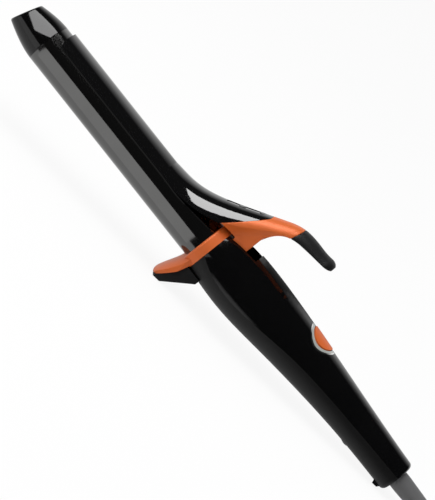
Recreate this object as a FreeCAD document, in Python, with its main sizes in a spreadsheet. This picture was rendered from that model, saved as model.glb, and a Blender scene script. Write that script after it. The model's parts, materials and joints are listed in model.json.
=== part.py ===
import FreeCAD
import Part
import math
import os
import re
import Sketcher

# Curling iron: heated barrel with a sprung clip, a two-shell handle, and its mains cord.
# Every piece is drawn in the barrel's frame: X along the barrel's axis from the tip cap's joint
# towards the cord, Y across, Z up towards the lever.  A common placement then stands the iron on
# its fin and its rear foot.  Lengths are in millimetres, angles in degrees.

Vector = FreeCAD.Vector
Rotation = FreeCAD.Rotation
Placement = FreeCAD.Placement

DIMENSIONS = [
    ("barrel_diameter", 25.4, "heated tube, outside"),
    ("barrel_wall", 0.9, "heated tube"),
    ("barrel_length", 134.0, "heated tube, from the tip cap to the guard"),
    ("slip_fit", 0.05, "radial clearance of a piece that is pushed into place"),
    ("running_fit", 0.06, "radial clearance of a piece that turns or slides"),
    ("free_gap", 0.4, "gap beside a piece that moves"),
    ("cap_length", 20.6, "tip cap, from its joint to the middle of its face"),
    ("cap_nose_radius", 8.3, "tip cap, where the face cuts it"),
    ("cap_bulge_radius", 11.7, "tip cap, half way along"),
    ("cap_slant", 16.0, "angle of the cap's face"),
    ("cap_edge", 1.2, "round on the face's edge"),
    ("cap_spigot", 9.0, "length of the cap's spigot in the tube"),
    ("clip_gap", 0.5, "between the tube and the clip"),
    ("clip_sheet", 1.0, "thickness of the clip's plate"),
    ("clip_start", 5.3, "front end of the clip, from the cap's joint"),
    ("clip_wrap", 59.0, "angle that the clip's edge stands from its crown"),
    ("clip_corner", 4.5, "round at the clip's front end"),
    ("guard_width", 6.0, "guard's ring, along the axis"),
    ("guard_band", 3.1, "guard's ring, from the tube outwards"),
    ("guard_edge", 1.4, "round on the ring's front edge"),
    ("tongue_bow", 28.0, "radius of the tongue's convex front"),
    ("tongue_half_width", 13.0, "tongue, at the ring"),
    ("tongue_end_half_width", 9.4, "tongue, at its end"),
    ("fin_half_width", 10.6, "fin behind the tongue"),
    ("foot_drop", 31.2, "fin's foot below the barrel's axis"),
    ("foot_back", 0.7, "middle of the fin's foot ahead of the guard's front"),
    ("foot_length", 4.6, "flat of the fin's foot"),
    ("heel_drop", 9.6, "rear foot below the barrel's axis"),
    ("heel_back", 5.0, "middle of the rear foot, from the handle's end"),
    ("heel_length", 3.0, "flat of the rear foot"),
    ("heel_half_width", 3.5, "rear foot, across"),
    ("handle_length", 156.5, "handle behind the guard"),
    ("handle_wall", 2.2, "both shells"),
    ("rear_wall", 3.0, "end wall at the cord"),
    ("handle_slim", 0.94, "handle's width over its height"),
    ("tail_edge", 2.6, "round on the handle's rear edge"),
    ("lip_band", 3.6, "handle's front, from the tube outwards"),
    ("lip_rise", 0.3, "centre of the section above the axis"),
    ("shoulder_share", 0.064, "place along the handle"),
    ("shoulder_swell", 1.3, "half height over the handle's front"),
    ("shoulder_rise", 1.0, "centre of the section above the axis"),
    ("belly_share", 0.147, "place along the handle"),
    ("belly_swell", 2.0, "half height over the handle's front"),
    ("belly_rise", 1.3, "centre of the section above the axis"),
    ("palm_share", 0.256, "place along the handle"),
    ("palm_swell", 1.5, "half height over the handle's front"),
    ("palm_rise", 1.8, "centre of the section above the axis"),
    ("waist_share", 0.383, "place along the handle"),
    ("waist_radius", 16.2, "half height of the section"),
    ("waist_rise", 2.5, "centre of the section above the axis"),
    ("wrist_share", 0.511, "place along the handle"),
    ("wrist_radius", 14.5, "half height of the section"),
    ("wrist_rise", 2.9, "centre of the section above the axis"),
    ("taper_share", 0.671, "place along the handle"),
    ("taper_radius", 12.6, "half height of the section"),
    ("taper_rise", 3.0, "centre of the section above the axis"),
    ("neck_share", 0.83, "place along the handle"),
    ("neck_radius", 11.2, "half height of the section"),
    ("neck_rise", 2.6, "centre of the section above the axis"),
    ("tail_radius", 10.4, "half height of the section"),
    ("tail_rise", 1.9, "centre of the section above the axis"),
    ("slot_length", 19.5, "lever's slot in the handle's top"),
    ("slot_half_width", 8.5, "lever's slot"),
    ("seam_dip", 6.6, "how far the shells' seam dips under the palm"),
    ("screw_radius", 1.45, "shell screws, over the thread"),
    ("screw_length", 13.0, "shell screws, under the head"),
    ("screw_head_radius", 2.8, "shell screws"),
    ("screw_head_height", 1.8, "shell screws"),
    ("boss_wall", 1.9, "wall of a screw boss"),
    ("front_screw", 31.0, "front shell screw, from the handle's front"),
    ("middle_screw", 99.0, "middle shell screw, from the handle's front"),
    ("rear_screw", 124.0, "rear shell screw, from the handle's front"),
    ("stem_radius", 8.5, "socket's stem in the handle"),
    ("stem_bore", 5.0, "wire way through the socket"),
    ("stem_flat", 7.0, "flat on the stem's top, above the axis"),
    ("plug_length", 14.0, "socket's plug inside the tube"),
    ("bulkhead_back", 20.5, "wall that holds the stem, from the handle's front"),
    ("bulkhead_wall", 2.4, "wall that holds the stem"),
    ("pivot_back", 7.0, "lever's pivot behind the handle's front"),
    ("pivot_height", 12.4, "lever's pivot above the barrel's axis"),
    ("pin_radius", 1.5, "pivot pin"),
    ("pin_head_radius", 2.6, "pivot pin's head and its retaining ring"),
    ("pin_head", 0.4, "thickness of the head and of the ring"),
    ("bracket_sheet", 1.2, "steel of the hinge bracket"),
    ("ear_radius", 3.0, "bracket's ears round the pin"),
    ("bracket_half_width", 5.2, "outside of the bracket's ears"),
    ("lever_half_width", 7.9, "outside of the lever's cheeks"),
    ("lever_cheek", 2.1, "thickness of the lever's cheeks"),
    ("lever_wall", 2.2, "lever's saddle"),
    ("lobe_radius", 4.4, "lever's cheek round the pin"),
    ("recess_half_width", 2.6, "pressed recess in the clip's tail"),
    ("recess_depth", 0.45, "pressed recess in the clip's tail"),
    ("recess_reach", 7.0, "recess, to each side of the guard's front"),
    ("rivet_radius", 1.1, "clip rivets, shank"),
    ("rivet_head_radius", 1.9, "clip rivets, both ends"),
    ("rivet_head", 0.4, "thickness of a rivet's head"),
    ("lever_reach", 54.0, "lever's end behind the guard's front"),
    ("grip_wall", 1.3, "soft grip over the lever's end"),
    ("spring_wire", 1.0, "return spring"),
    ("spring_radius", 2.9, "return spring, middle of the wire"),
    ("button_place", 73.7, "button's middle behind the handle's front"),
    ("button_radius", 7.5, "power button"),
    ("button_lift", 0.5, "button's crown above the handle"),
    ("button_travel", 1.0, "power button"),
    ("button_floor", 11.9, "underside of the rings round the button, above the axis"),
    ("switch_height", 4.6, "power switch above the board"),
    ("button_gap", 0.35, "between the button and the light ring"),
    ("ring_width", 1.35, "light ring"),
    ("bezel_width", 0.7, "bright ring round the light ring"),
    ("board_front", 40.0, "circuit board's front, from the handle's front"),
    ("board_length", 48.0, "circuit board"),
    ("board_half_width", 9.0, "circuit board"),
    ("board_top", 4.0, "circuit board's top above the axis"),
    ("board_sheet", 1.6, "circuit board"),
    ("board_screw_radius", 1.0, "board screws"),
    ("core_start", 14.0, "heater's front end, from the cap's joint"),
    ("core_length", 102.0, "heater"),
    ("core_gap", 0.3, "heater's block inside the tube"),
    ("heater_half_width", 6.0, "ceramic heater"),
    ("heater_sheet", 2.4, "ceramic heater"),
    ("gland_radius", 4.6, "swivel gland's journal"),
    ("gland_flange", 7.0, "swivel gland's flange, radius"),
    ("relief_radius", 5.6, "strain relief where it leaves the handle"),
    ("relief_tip_radius", 4.3, "strain relief at its far end"),
    ("relief_length", 38.0, "strain relief outside the gland"),
    ("cord_diameter", 6.5, "mains cord"),
    ("hank_fold", 19.8, "radius of the stored cord's inner folds, middle of the cord"),
    ("hank_pitch", 6.55, "between neighbouring turns of the stored cord"),
    ("hank_run", 60.0, "straight stretch between the stored cord's folds"),
    ("hank_base", 1.0, "underside of the stored cord"),
    ("hank_place", 107.0, "middle of the stored cord behind the strain relief's end"),
    ("tie_width", 12.0, "strap round the stored cord"),
    ("tie_wall", 0.7, "strap round the stored cord"),
    ("tie_gap", 0.1, "between the strap and the stored cord"),
    ("plug_thickness", 14.0, "plug's body"),
    ("plug_width", 34.0, "plug's body"),
    ("plug_body_length", 34.0, "plug's body"),
    ("plug_pin_radius", 2.0, "plug's pins"),
    ("plug_neck_radius", 1.5, "root of a pin in the plug's body"),
    ("plug_neck", 0.3, "root of a pin outside the plug's body"),
    ("plug_pin_length", 19.0, "plug's pins, outside the body"),
    ("plug_pin_pitch", 19.0, "between the plug's pins"),
]


def fill_sheet(document):
    """Writes one row for each driving dimension: its name, its value and what it measures."""
    sheet = document.addObject("Spreadsheet::Sheet", "dims")
    for row, (name, value, meaning) in enumerate(DIMENSIONS, start=1):
        sheet.set(f"A{row}", name)
        sheet.set(f"B{row}", str(value))
        sheet.set(f"C{row}", meaning)
        sheet.setAlias(f"B{row}", name)
    document.recompute()
    return sheet


document = FreeCAD.newDocument("curling_iron")
dims = fill_sheet(document)
ALIAS = re.compile(r"\b(" + "|".join(name for name, value, meaning in DIMENSIONS) + r")\b")
NODES = []

# Places and sizes that follow from the driving dimensions.
BARREL_RADIUS = "(barrel_diameter / 2)"
BORE_RADIUS = "(barrel_diameter / 2 - barrel_wall)"
GUARD_FRONT = "barrel_length"
HANDLE_FRONT = "(barrel_length + guard_width)"
HANDLE_END = "(barrel_length + guard_width + handle_length)"
GUARD_RADIUS = "(barrel_diameter / 2 + guard_band)"
CLIP_RADIUS = "(barrel_diameter / 2 + clip_gap + clip_sheet)"
LIP_RADIUS = "(barrel_diameter / 2 + lip_band)"
BELLY_RADIUS = "(barrel_diameter / 2 + lip_band + belly_swell)"
FOOT_X = "(barrel_length - foot_back)"
HEEL_X = "(barrel_length + guard_width + handle_length - heel_back)"
FLOOR_SLOPE = f"((foot_drop - heel_drop) / ({HEEL_X} - {FOOT_X}))"

PIVOT_X = "(barrel_length + guard_width + pivot_back)"
BUTTON_X = "(barrel_length + guard_width + button_place)"
RING_BORE = "(button_radius + button_gap)"
RING_RADIUS = "(button_radius + button_gap + ring_width)"
BEZEL_RADIUS = "(button_radius + button_gap + ring_width + bezel_width)"
CORE_END = "(core_start + core_length)"
GLAND_BACK = "(barrel_length + guard_width + handle_length - rear_wall - 0.3)"
SWITCH_TOP = "(board_top + switch_height)"
SWITCH_TIP = "(board_top + switch_height + 1.8)"
BOARD_UNDER = "(board_top - board_sheet)"
BOARD_END = "(barrel_length + guard_width + board_front + board_length)"
BOARD_POSTS = [(f"({HANDLE_FRONT} + board_front + 4)", "6"), (f"({HANDLE_FRONT} + board_front + 4)", "-6"),
               (f"({HANDLE_FRONT} + board_front + board_length - 4)", "6"),
               (f"({HANDLE_FRONT} + board_front + board_length - 4)", "-6")]
SHELL_SCREWS = [f"({HANDLE_FRONT} + front_screw)", f"({HANDLE_FRONT} + middle_screw)",
                f"({HANDLE_FRONT} + rear_screw)"]

ALONG_X = Rotation(Vector(0, 1, 0), 90)
ALONG_Y = Rotation(Vector(1, 0, 0), -90)
ALONG_Z = Rotation()
# An upright cylinder turned so that its seam stays clear of the seam along the handle's top.
UPRIGHT = Rotation(Vector(0, 0, 1), 40)


def full(text):
    """The expression with every driving dimension named by its sheet."""
    return ALIAS.sub(r"dims.\1", str(text))


def number(text):
    """The value of an expression, for shapes that are drawn in code."""
    value = dims.evalExpression(full(text))
    return float(getattr(value, "Value", value))


def bind(thing, **sizes):
    for name, text in sizes.items():
        thing.setExpression(name.replace("__", "."), full(text))
    return thing


def put(thing, x="0", y="0", z="0", turn=ALONG_Z):
    thing.Placement = Placement(Vector(), turn)
    return bind(thing, Placement__Base__x=x, Placement__Base__y=y, Placement__Base__z=z)


def cylinder(name, radius, length, x="0", y="0", z="0", turn=ALONG_X):
    rod = document.addObject("Part::Cylinder", name)
    bind(rod, Radius=radius, Height=length)
    return put(rod, x, y, z, turn)


def block(name, x_low, x_high, half_width, z_low, z_high, y="0"):
    """A box whose middle lies at y."""
    brick = document.addObject("Part::Box", name)
    bind(brick, Length=f"({x_high}) - ({x_low})", Width=f"2 * ({half_width})")
    bind(brick, Height=f"({z_high}) - ({z_low})")
    return put(brick, x_low, f"({y}) - ({half_width})", z_low)


def boolean(kind, name):
    """A boolean whose faces stay apart at a loft's seam: merged ones can't be cut again."""
    result = document.addObject(kind, name)
    result.Refine = False
    return result


def join(name, *parts):
    whole = boolean("Part::MultiFuse", name)
    whole.Shapes = list(parts)
    return whole


def cut(name, base, *tools):
    rest = boolean("Part::Cut", name)
    rest.Base = base
    rest.Tool = tools[0] if len(tools) == 1 else join(name + "_tools", *tools)
    return rest


def group(name, *solids):
    """Separate solids as one object, which a sub-part's own placement can then stand."""
    whole = document.addObject("Part::Compound", name)
    whole.Links = list(solids)
    return whole


def common(name, first, second):
    overlap = boolean("Part::Common", name)
    overlap.Base = first
    overlap.Tool = second
    return overlap


def loft(name, stations, tall):
    """A solid through ellipses across X; each station is (x, z, half height, half width)."""
    rings = []
    for count, (x, z, up, across) in enumerate(stations, start=1):
        ring = document.addObject("Part::Ellipse", f"{name}_ring_{count}")
        bind(ring, MajorRadius=up if tall else across, MinorRadius=across if tall else up)
        turn = Rotation(Vector(0, 0, 1), Vector(0, 1, 0), Vector(-1, 0, 0))
        if not tall:
            turn = Rotation(Vector(0, 1, 0), Vector(0, 0, 1), Vector(1, 0, 0))
        rings.append(put(ring, x, "0", z, turn))
    solid = document.addObject("Part::Loft", name)
    solid.Sections = rings
    solid.Solid = True
    return solid


def body(name):
    return document.addObject("PartDesign::Body", name)


def fixed(sketch, shape, spot, point):
    """Holds one point of a sketch at an expression's place."""
    for kind, text in zip(("DistanceX", "DistanceY"), point):
        index = sketch.addConstraint(Sketcher.Constraint(kind, -1, 1, shape, spot, number(text)))
        sketch.setExpression(f"Constraints[{index}]", full(text))


def outline(owner, name, plane, runs, shift="0"):
    """A closed sketch.  Each run leads on from the last one's end: one point makes a straight
    line, more points make a smooth curve with those control points, and the last run's end is
    where the first run starts."""
    sketch = owner.newObject("Sketcher::SketchObject", name)
    sketch.AttachmentSupport = [(next(f for f in owner.Origin.OriginFeatures if f.Role == plane), "")]
    sketch.MapMode = "FlatFace"
    sketch.setExpression("AttachmentOffset.Base.z", full(shift))
    runs = [run if isinstance(run, list) else [run] for run in runs]
    corner = runs[-1][-1]
    edges = []
    for run in runs:
        places = [Vector(number(x), number(z), 0) for x, z in [corner] + run]
        if len(run) == 1:
            edges.append(sketch.addGeometry(Part.LineSegment(*places)))
        else:
            degree = min(3, len(run))
            spans = len(places) - degree
            curve = Part.BSplineCurve()
            curve.buildFromPolesMultsKnots(places, [degree + 1] + [1] * (spans - 1) + [degree + 1],
                                           [step / spans for step in range(spans + 1)], False, degree)
            edge = sketch.addGeometry(curve)
            sketch.exposeInternalGeometry(edge)
            for pole, point in enumerate(run[:-1], start=2):
                fixed(sketch, edge + pole, 3, point)
            edges.append(edge)
        corner = run[-1]
    for edge, following, run in zip(edges, edges[1:] + edges[:1], runs):
        sketch.addConstraint(Sketcher.Constraint("Coincident", edge, 2, following, 1))
        fixed(sketch, edge, 2, run[-1])
    return sketch


def pad(owner, sketch, depth, kind="PartDesign::Pad"):
    """Raises, or cuts when it is a pocket, a sketch by half the depth to each side."""
    feature = owner.newObject(kind, sketch.Name + "_" + kind[12:].lower())
    feature.Profile = sketch
    feature.SideType = "Symmetric"
    return bind(feature, Length=depth)


def spin(owner, sketch, axis="H_Axis", angle=360):
    """Turns a sketch about an axis of its own, by half the angle to each side."""
    feature = owner.newObject("PartDesign::Revolution", sketch.Name + "_spin")
    feature.Profile = sketch
    feature.ReferenceAxis = (sketch, [axis])
    feature.Midplane = True
    feature.Angle = angle
    return feature


def node(thing, label, standing=True):
    """Names a finished sub-part, and stands it on the floor with the rest."""
    thing.Label = label
    if standing:
        thing.Placement = Placement(Vector(), Rotation(Vector(0, 1, 0), 1))
        lean = f"atan({FLOOR_SLOPE})"
        bind(thing, Placement__Rotation__Angle=lean,
             Placement__Base__x=f"foot_drop * sin({lean}) - {FOOT_X} * cos({lean})",
             Placement__Base__z=f"{FOOT_X} * sin({lean}) + foot_drop * cos({lean})")
    NODES.append(thing)
    return thing


def barrel_tube():
    tube = body("tube")
    end = f"({HANDLE_FRONT} - 0.2)"
    spin(tube, outline(tube, "tube_section", "XZ_Plane", [
        ("0", BORE_RADIUS), (end, BORE_RADIUS), (end, BARREL_RADIUS), ("0", BARREL_RADIUS)]))
    node(tube, "barrel_tube")


def tip_cap():
    cap = body("cap")
    spigot = f"({BORE_RADIUS} - slip_fit)"
    core = f"({spigot} - 1.8)"
    spin(cap, outline(cap, "cap_section", "XZ_Plane", [
        ("-cap_length - 4", "0"),
        ("-cap_length - 4", "cap_nose_radius - 1"),
        [("-cap_length * 0.5", "cap_bulge_radius + 0.6"), ("-cap_length * 0.15", BARREL_RADIUS),
         ("0", BARREL_RADIUS)],
        ("0", spigot), ("cap_spigot", spigot), ("cap_spigot", core), ("-cap_length * 0.4", core),
        ("-cap_length * 0.4", "0")]))
    slant = "tan(cap_slant)"
    top = f"({BARREL_RADIUS} + 2)"
    face = outline(cap, "cap_face", "XZ_Plane", [
        (f"-cap_length + {top} * {slant}", top), ("-cap_length - 20", top),
        ("-cap_length - 20", f"-{top}"), (f"-cap_length - {top} * {slant}", f"-{top}")])
    pad(cap, face, f"4 * {top}", "PartDesign::Pocket")
    document.recompute()
    edges = [f"Edge{count}" for count, edge in enumerate(cap.Shape.Edges, start=1)
             if edge.BoundBox.XMax < number("-cap_length * 0.6") and edge.BoundBox.XLength > 1]
    sharp = cap.Tip
    round_off = cap.newObject("PartDesign::Fillet", "cap_round")
    round_off.Base = (sharp, edges)
    bind(round_off, Radius="cap_edge")
    node(cap, "tip_cap")


# Sections of the handle: name, place along it, half height.
HULL = [("lip", "0", LIP_RADIUS), ("shoulder", "shoulder_share", f"({LIP_RADIUS} + shoulder_swell)"),
        ("belly", "belly_share", BELLY_RADIUS), ("palm", "palm_share", f"({LIP_RADIUS} + palm_swell)"),
        ("waist", "waist_share", "waist_radius"), ("wrist", "wrist_share", "wrist_radius"),
        ("taper", "taper_share", "taper_radius"), ("neck", "neck_share", "neck_radius"),
        ("tail", "1", "tail_radius")]


def shares(share):
    """A place along the handle."""
    return f"{HANDLE_FRONT} + handle_length * {share}"


def handle_hull(name, shrink, start, end):
    """The handle's outside, or its hollow when shrink is the wall."""
    ends = {"lip": start, "tail": end}
    stations = [(ends.get(station, shares(share)), f"{station}_rise", f"{radius} - {shrink}",
                 f"{radius} * handle_slim - {shrink}") for station, share, radius in HULL]
    return loft(name, stations, True)


def prism(name, plane, half_depth, runs, shift="0"):
    """A body of one outline, raised to both sides of its plane."""
    owner = body(name)
    pad(owner, outline(owner, name + "_side", plane, runs, shift), f"2 * ({half_depth})")
    return owner


def handle_pieces():
    """Both shells: one rounded casing with its ribs and bosses, parted along the seam."""
    hull = handle_hull("hull", "0", HANDLE_FRONT, HANDLE_END)
    document.recompute()
    rounded = document.addObject("Part::Fillet", "hull_round")
    rounded.Base = hull
    rim = [count for count, edge in enumerate(hull.Shape.Edges, start=1)
           if edge.BoundBox.XMin > number(HANDLE_END) - 1]
    rounded.Edges = [(count, number("tail_edge"), number("tail_edge")) for count in rim]
    hollow = handle_hull("hollow", "handle_wall", f"{HANDLE_FRONT} - 2", f"{HANDLE_END} - rear_wall")
    shell = cut("shell", rounded, hollow)
    bulkhead_x = f"({HANDLE_FRONT} + bulkhead_back)"
    rib_x = f"({HANDLE_END} - 12)"
    seam = prism("seam", "XZ_Plane", "40", [
        (f"{HANDLE_FRONT} - 3", "lip_rise"),
        [(shares(0.06), "0.2 - seam_dip * 0.85"), (shares(0.18), "-seam_dip"),
         (shares(0.33), "-seam_dip * 0.3"), (shares(0.5), "wrist_rise + 0.2"),
         (shares(0.72), "taper_rise + 0.8"), (shares(1.02), "tail_rise + 2.6")],
        (shares(1.02), "60"), (f"{HANDLE_FRONT} - 3", "60")])
    bosses = [cylinder(f"boss_{count}", "screw_radius + boss_wall", "60", x, "0", "-30", ALONG_Z)
              for count, x in enumerate(SHELL_SCREWS, start=1)]
    posts = [cylinder(f"post_{count}", "2.3", f"30 + {BOARD_UNDER}", x, y, "-30", ALONG_Z)
             for count, (x, y) in enumerate(BOARD_POSTS, start=1)]
    walls = [block("bulkhead", bulkhead_x, f"{bulkhead_x} + bulkhead_wall", "30", "-30", "30"),
             block("gland_rib", rib_x, f"{rib_x} + 3", "30", "-30", "30")]
    inside = common("inside", join("ribs", *walls, *bosses), rounded)
    heads = []
    for count, x in enumerate(SHELL_SCREWS, start=1):
        low = f"{SCREW_SEATS[count - 1]} - 30"
        heads.append(cylinder(f"screw_way_{count}", "screw_radius + slip_fit", "screw_length + 30", x, "0",
                              low, ALONG_Z))
        heads.append(cylinder(f"head_way_{count}", "screw_head_radius + 0.2", "30", x, "0", low, ALONG_Z))
    board_holes = [cylinder(f"post_hole_{count}", "board_screw_radius + slip_fit", "8", x, y,
                            f"{BOARD_UNDER} - 6", ALONG_Z)
                   for count, (x, y) in enumerate(BOARD_POSTS, start=1)]
    ways = [cylinder("stem_way", "stem_radius + slip_fit", "40", f"{bulkhead_x} - 10"),
            cylinder("journal_way", "gland_radius + running_fit", "14", f"{rib_x} - 2", "0", "tail_rise"),
            cylinder("relief_way", "relief_radius + free_gap", "12", f"{HANDLE_END} - 5", "0", "tail_rise")]
    slot = block("slot", f"{HANDLE_FRONT} - 1", f"{HANDLE_FRONT} + slot_length", "slot_half_width", "4",
                 "40")
    button_way = cylinder("button_way", f"{BEZEL_RADIUS} + slip_fit", "30", BUTTON_X, "0", "8", UPRIGHT)
    casing = cut("casing", join("casing_whole", shell, inside), *ways, *heads)
    upper = cut("upper_open", common("upper_half", casing, seam), slot, button_way)
    node(upper, "upper_shell")
    fin = fin_block(hull)
    stands = cut("board_stands", common("posts_in", join("posts", *posts), rounded), *board_holes)
    lower = join("lower_half", cut("lower_part", casing, seam), fin, stands, rear_foot())
    node(lower, "lower_shell")
    light_pieces(rounded)


SCREW_SEATS = [f"(belly_rise - {BELLY_RADIUS} + 4.2)", "(taper_rise - taper_radius + 2.7)",
               "(neck_rise - neck_radius + 1.6)"]
BOW_ANGLE = 70
TONGUE_BACK = [(f"{GUARD_FRONT} + 2.8", "-8"), (f"{GUARD_FRONT} + 1.4", "-14"),
               (f"{GUARD_FRONT} - 0.4", "-19.5"), (f"{GUARD_FRONT} - 3.2", "-26"),
               (f"{GUARD_FRONT} - 5", "-31.4")]


def bowed(name, runs):
    """A side outline swung about an upright line behind it, which bows its front."""
    owner = body(name)
    sketch = outline(owner, name + "_side", "XZ_Plane", runs)
    x = f"{GUARD_FRONT} - 6 + tongue_bow"
    line = sketch.addGeometry(Part.LineSegment(Vector(number(x), 0, 0), Vector(number(x), 10, 0)), True)
    fixed(sketch, line, 1, (x, "0"))
    fixed(sketch, line, 2, (x, "10"))
    spin(owner, sketch, "Axis0", BOW_ANGLE)
    return owner


def foot_line(x):
    """Height of the floor under a place along the barrel."""
    return f"((({x}) - {FOOT_X}) * {FLOOR_SLOPE} - foot_drop)"


def fin_block(hull):
    """The fin that carries the tongue and stands on the floor."""
    toe = f"({FOOT_X} - foot_length * 0.5)"
    heel = f"({FOOT_X} + foot_length * 0.5)"
    fin = prism("fin", "XZ_Plane", "fin_half_width", [
        (toe, foot_line(toe)), (heel, foot_line(heel)), (f"{HANDLE_FRONT} + 9", "-16.2"),
        (f"{HANDLE_FRONT} + 9", "-13.5"), (f"{HANDLE_FRONT}", "-13.5"), (f"{GUARD_FRONT} - 12", "-13.5"),
        (f"{GUARD_FRONT} - 12", foot_line(toe))])
    ahead = bowed("fin_front", [
        (f"{GUARD_FRONT} + 2.8", "0"), TONGUE_BACK, (f"{GUARD_FRONT} - 6", "-40"),
        (f"{GUARD_FRONT} - 30", "-40"), (f"{GUARD_FRONT} - 30", "0")])
    ring_space = cylinder("ring_space", GUARD_RADIUS, "guard_width", GUARD_FRONT)
    inner = cylinder("fin_top", "13.4", "30", f"{HANDLE_FRONT} - 20")
    return cut("fin_trimmed", fin, ahead, ring_space, inner)


def rear_foot():
    """The bump under the handle's end that the iron rests on."""
    front = f"({HEEL_X} - heel_length * 0.5)"
    back = f"({HEEL_X} + heel_length * 0.5)"
    return prism("rear_foot", "XZ_Plane", "heel_half_width", [
        (front, foot_line(front)), (back, foot_line(back)), (f"{back} + 1", "-7.5"),
        (f"{front} - 1", "-7.5")])


def guard():
    ring = body("ring")
    spin(ring, outline(ring, "ring_section", "XZ_Plane", [
        (HANDLE_FRONT, f"{BARREL_RADIUS} + slip_fit"), (HANDLE_FRONT, GUARD_RADIUS),
        (f"{GUARD_FRONT} + guard_edge", GUARD_RADIUS),
        [(GUARD_FRONT, GUARD_RADIUS), (GUARD_FRONT, f"{GUARD_RADIUS} - guard_edge")],
        (GUARD_FRONT, f"{BARREL_RADIUS} + slip_fit")]))
    tongue = bowed("tongue", [
        (f"{GUARD_FRONT} + 2.8", "-6"), TONGUE_BACK,
        [(f"{GUARD_FRONT} - 6.2", "-31.2"), (f"{GUARD_FRONT} - 6", "-28.5"),
         (f"{GUARD_FRONT} - 3.4", "-20.5"), (f"{GUARD_FRONT} - 1.2", "-13"), (f"{GUARD_FRONT} - 1.2", "-6")]])
    front = prism("tongue_front", "YZ_Plane", "80", [
        ("-tongue_half_width - 1", "-6"),
        [("-tongue_half_width", "-14"), ("-tongue_half_width", "-22"),
         ("-tongue_end_half_width - 1.4", "-29"), ("-tongue_end_half_width + 1", "-31.6"), ("0", "-31.6")],
        [("tongue_end_half_width - 1", "-31.6"), ("tongue_end_half_width + 1.4", "-29"),
         ("tongue_half_width", "-22"), ("tongue_half_width", "-14"), ("tongue_half_width + 1", "-6")]],
        GUARD_FRONT)
    blade = common("blade", tongue, front)
    bore = cylinder("guard_bore", f"{BARREL_RADIUS} + slip_fit", "40", f"{GUARD_FRONT} - 20")
    room = cylinder("handle_room", "40", "30", HANDLE_FRONT)
    node(cut("guard_whole", join("guard_parts", ring, blade), bore, room), "guard_collar")


def light_pieces(rounded):
    """The rings round the button, flush with the handle, and the button itself."""
    shapes = []
    for name, inner, outer in (("bezel", RING_RADIUS, BEZEL_RADIUS), ("glow", RING_BORE, RING_RADIUS)):
        disc_in_hull = common(f"{name}_disc", rounded,
                              cylinder(f"{name}_out", outer, "30", BUTTON_X, "0", "button_floor", UPRIGHT))
        shapes.append(cut(f"{name}_ring", disc_in_hull,
                          cylinder(f"{name}_in", inner, "40", BUTTON_X, "0", "0", UPRIGHT)))
    node(shapes[0], "button_bezel")
    node(shapes[1], "light_ring")
    crown = handle_hull("crown", "-button_lift", HANDLE_FRONT, HANDLE_END)
    low = "button_floor - 1"
    disc = cylinder("button_disc", "button_radius", "20", BUTTON_X, "0", low, UPRIGHT)
    flange = cylinder("button_flange", "button_radius + 0.8", "0.9", BUTTON_X, "0", low, ALONG_Z)
    hollow = cylinder("button_hollow", "button_radius - 1.6", "4", BUTTON_X, "0", f"{low} - 0.4", ALONG_Z)
    outer = common("button_outer", crown, join("button_stack", disc, flange))
    hollowed = cut("button_shell", outer, hollow)
    stem = cylinder("button_stem", "1.8", "5", BUTTON_X, "0", SWITCH_TIP, ALONG_Z)
    node(join("button_whole", hollowed, stem), "power_button")


def socket():
    """Heat-proof socket between the tube and the handle."""
    bulkhead_x = f"({HANDLE_FRONT} + bulkhead_back)"
    step = "stem_radius + 1.8"
    whole = join("socket_rods",
                 cylinder("socket_plug", f"{BORE_RADIUS} - slip_fit", "plug_length + 0.2",
                          f"{HANDLE_FRONT} - plug_length - 0.2"),
                 cylinder("socket_flange", f"{BARREL_RADIUS} + 0.2", "2.3", HANDLE_FRONT),
                 cylinder("socket_stem", "stem_radius", "bulkhead_back + bulkhead_wall + 2", HANDLE_FRONT),
                 cylinder("socket_step", step, "1.8", f"{bulkhead_x} - 1.9"),
                 cylinder("socket_collar", step, "1.8", f"{bulkhead_x} + bulkhead_wall + 0.1"))
    bore = cylinder("socket_bore", "stem_bore", "60", f"{HANDLE_FRONT} - 20")
    flat = block("socket_flat", f"{HANDLE_FRONT} + 2.3", f"{bulkhead_x} - 1.9", "20", "stem_flat", "20")
    holes = [cylinder(f"bracket_hole_{count}", "board_screw_radius + slip_fit", "5.6", x, "0",
                      "stem_flat - 2.9", ALONG_Z) for count, x in enumerate(BRACKET_SCREWS, start=1)]
    node(cut("socket_whole", whole, bore, flat, *holes), "barrel_socket")


BRACKET_SCREWS = [f"({PIVOT_X} + 6.4)", f"({PIVOT_X} + 9.9)"]


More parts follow.
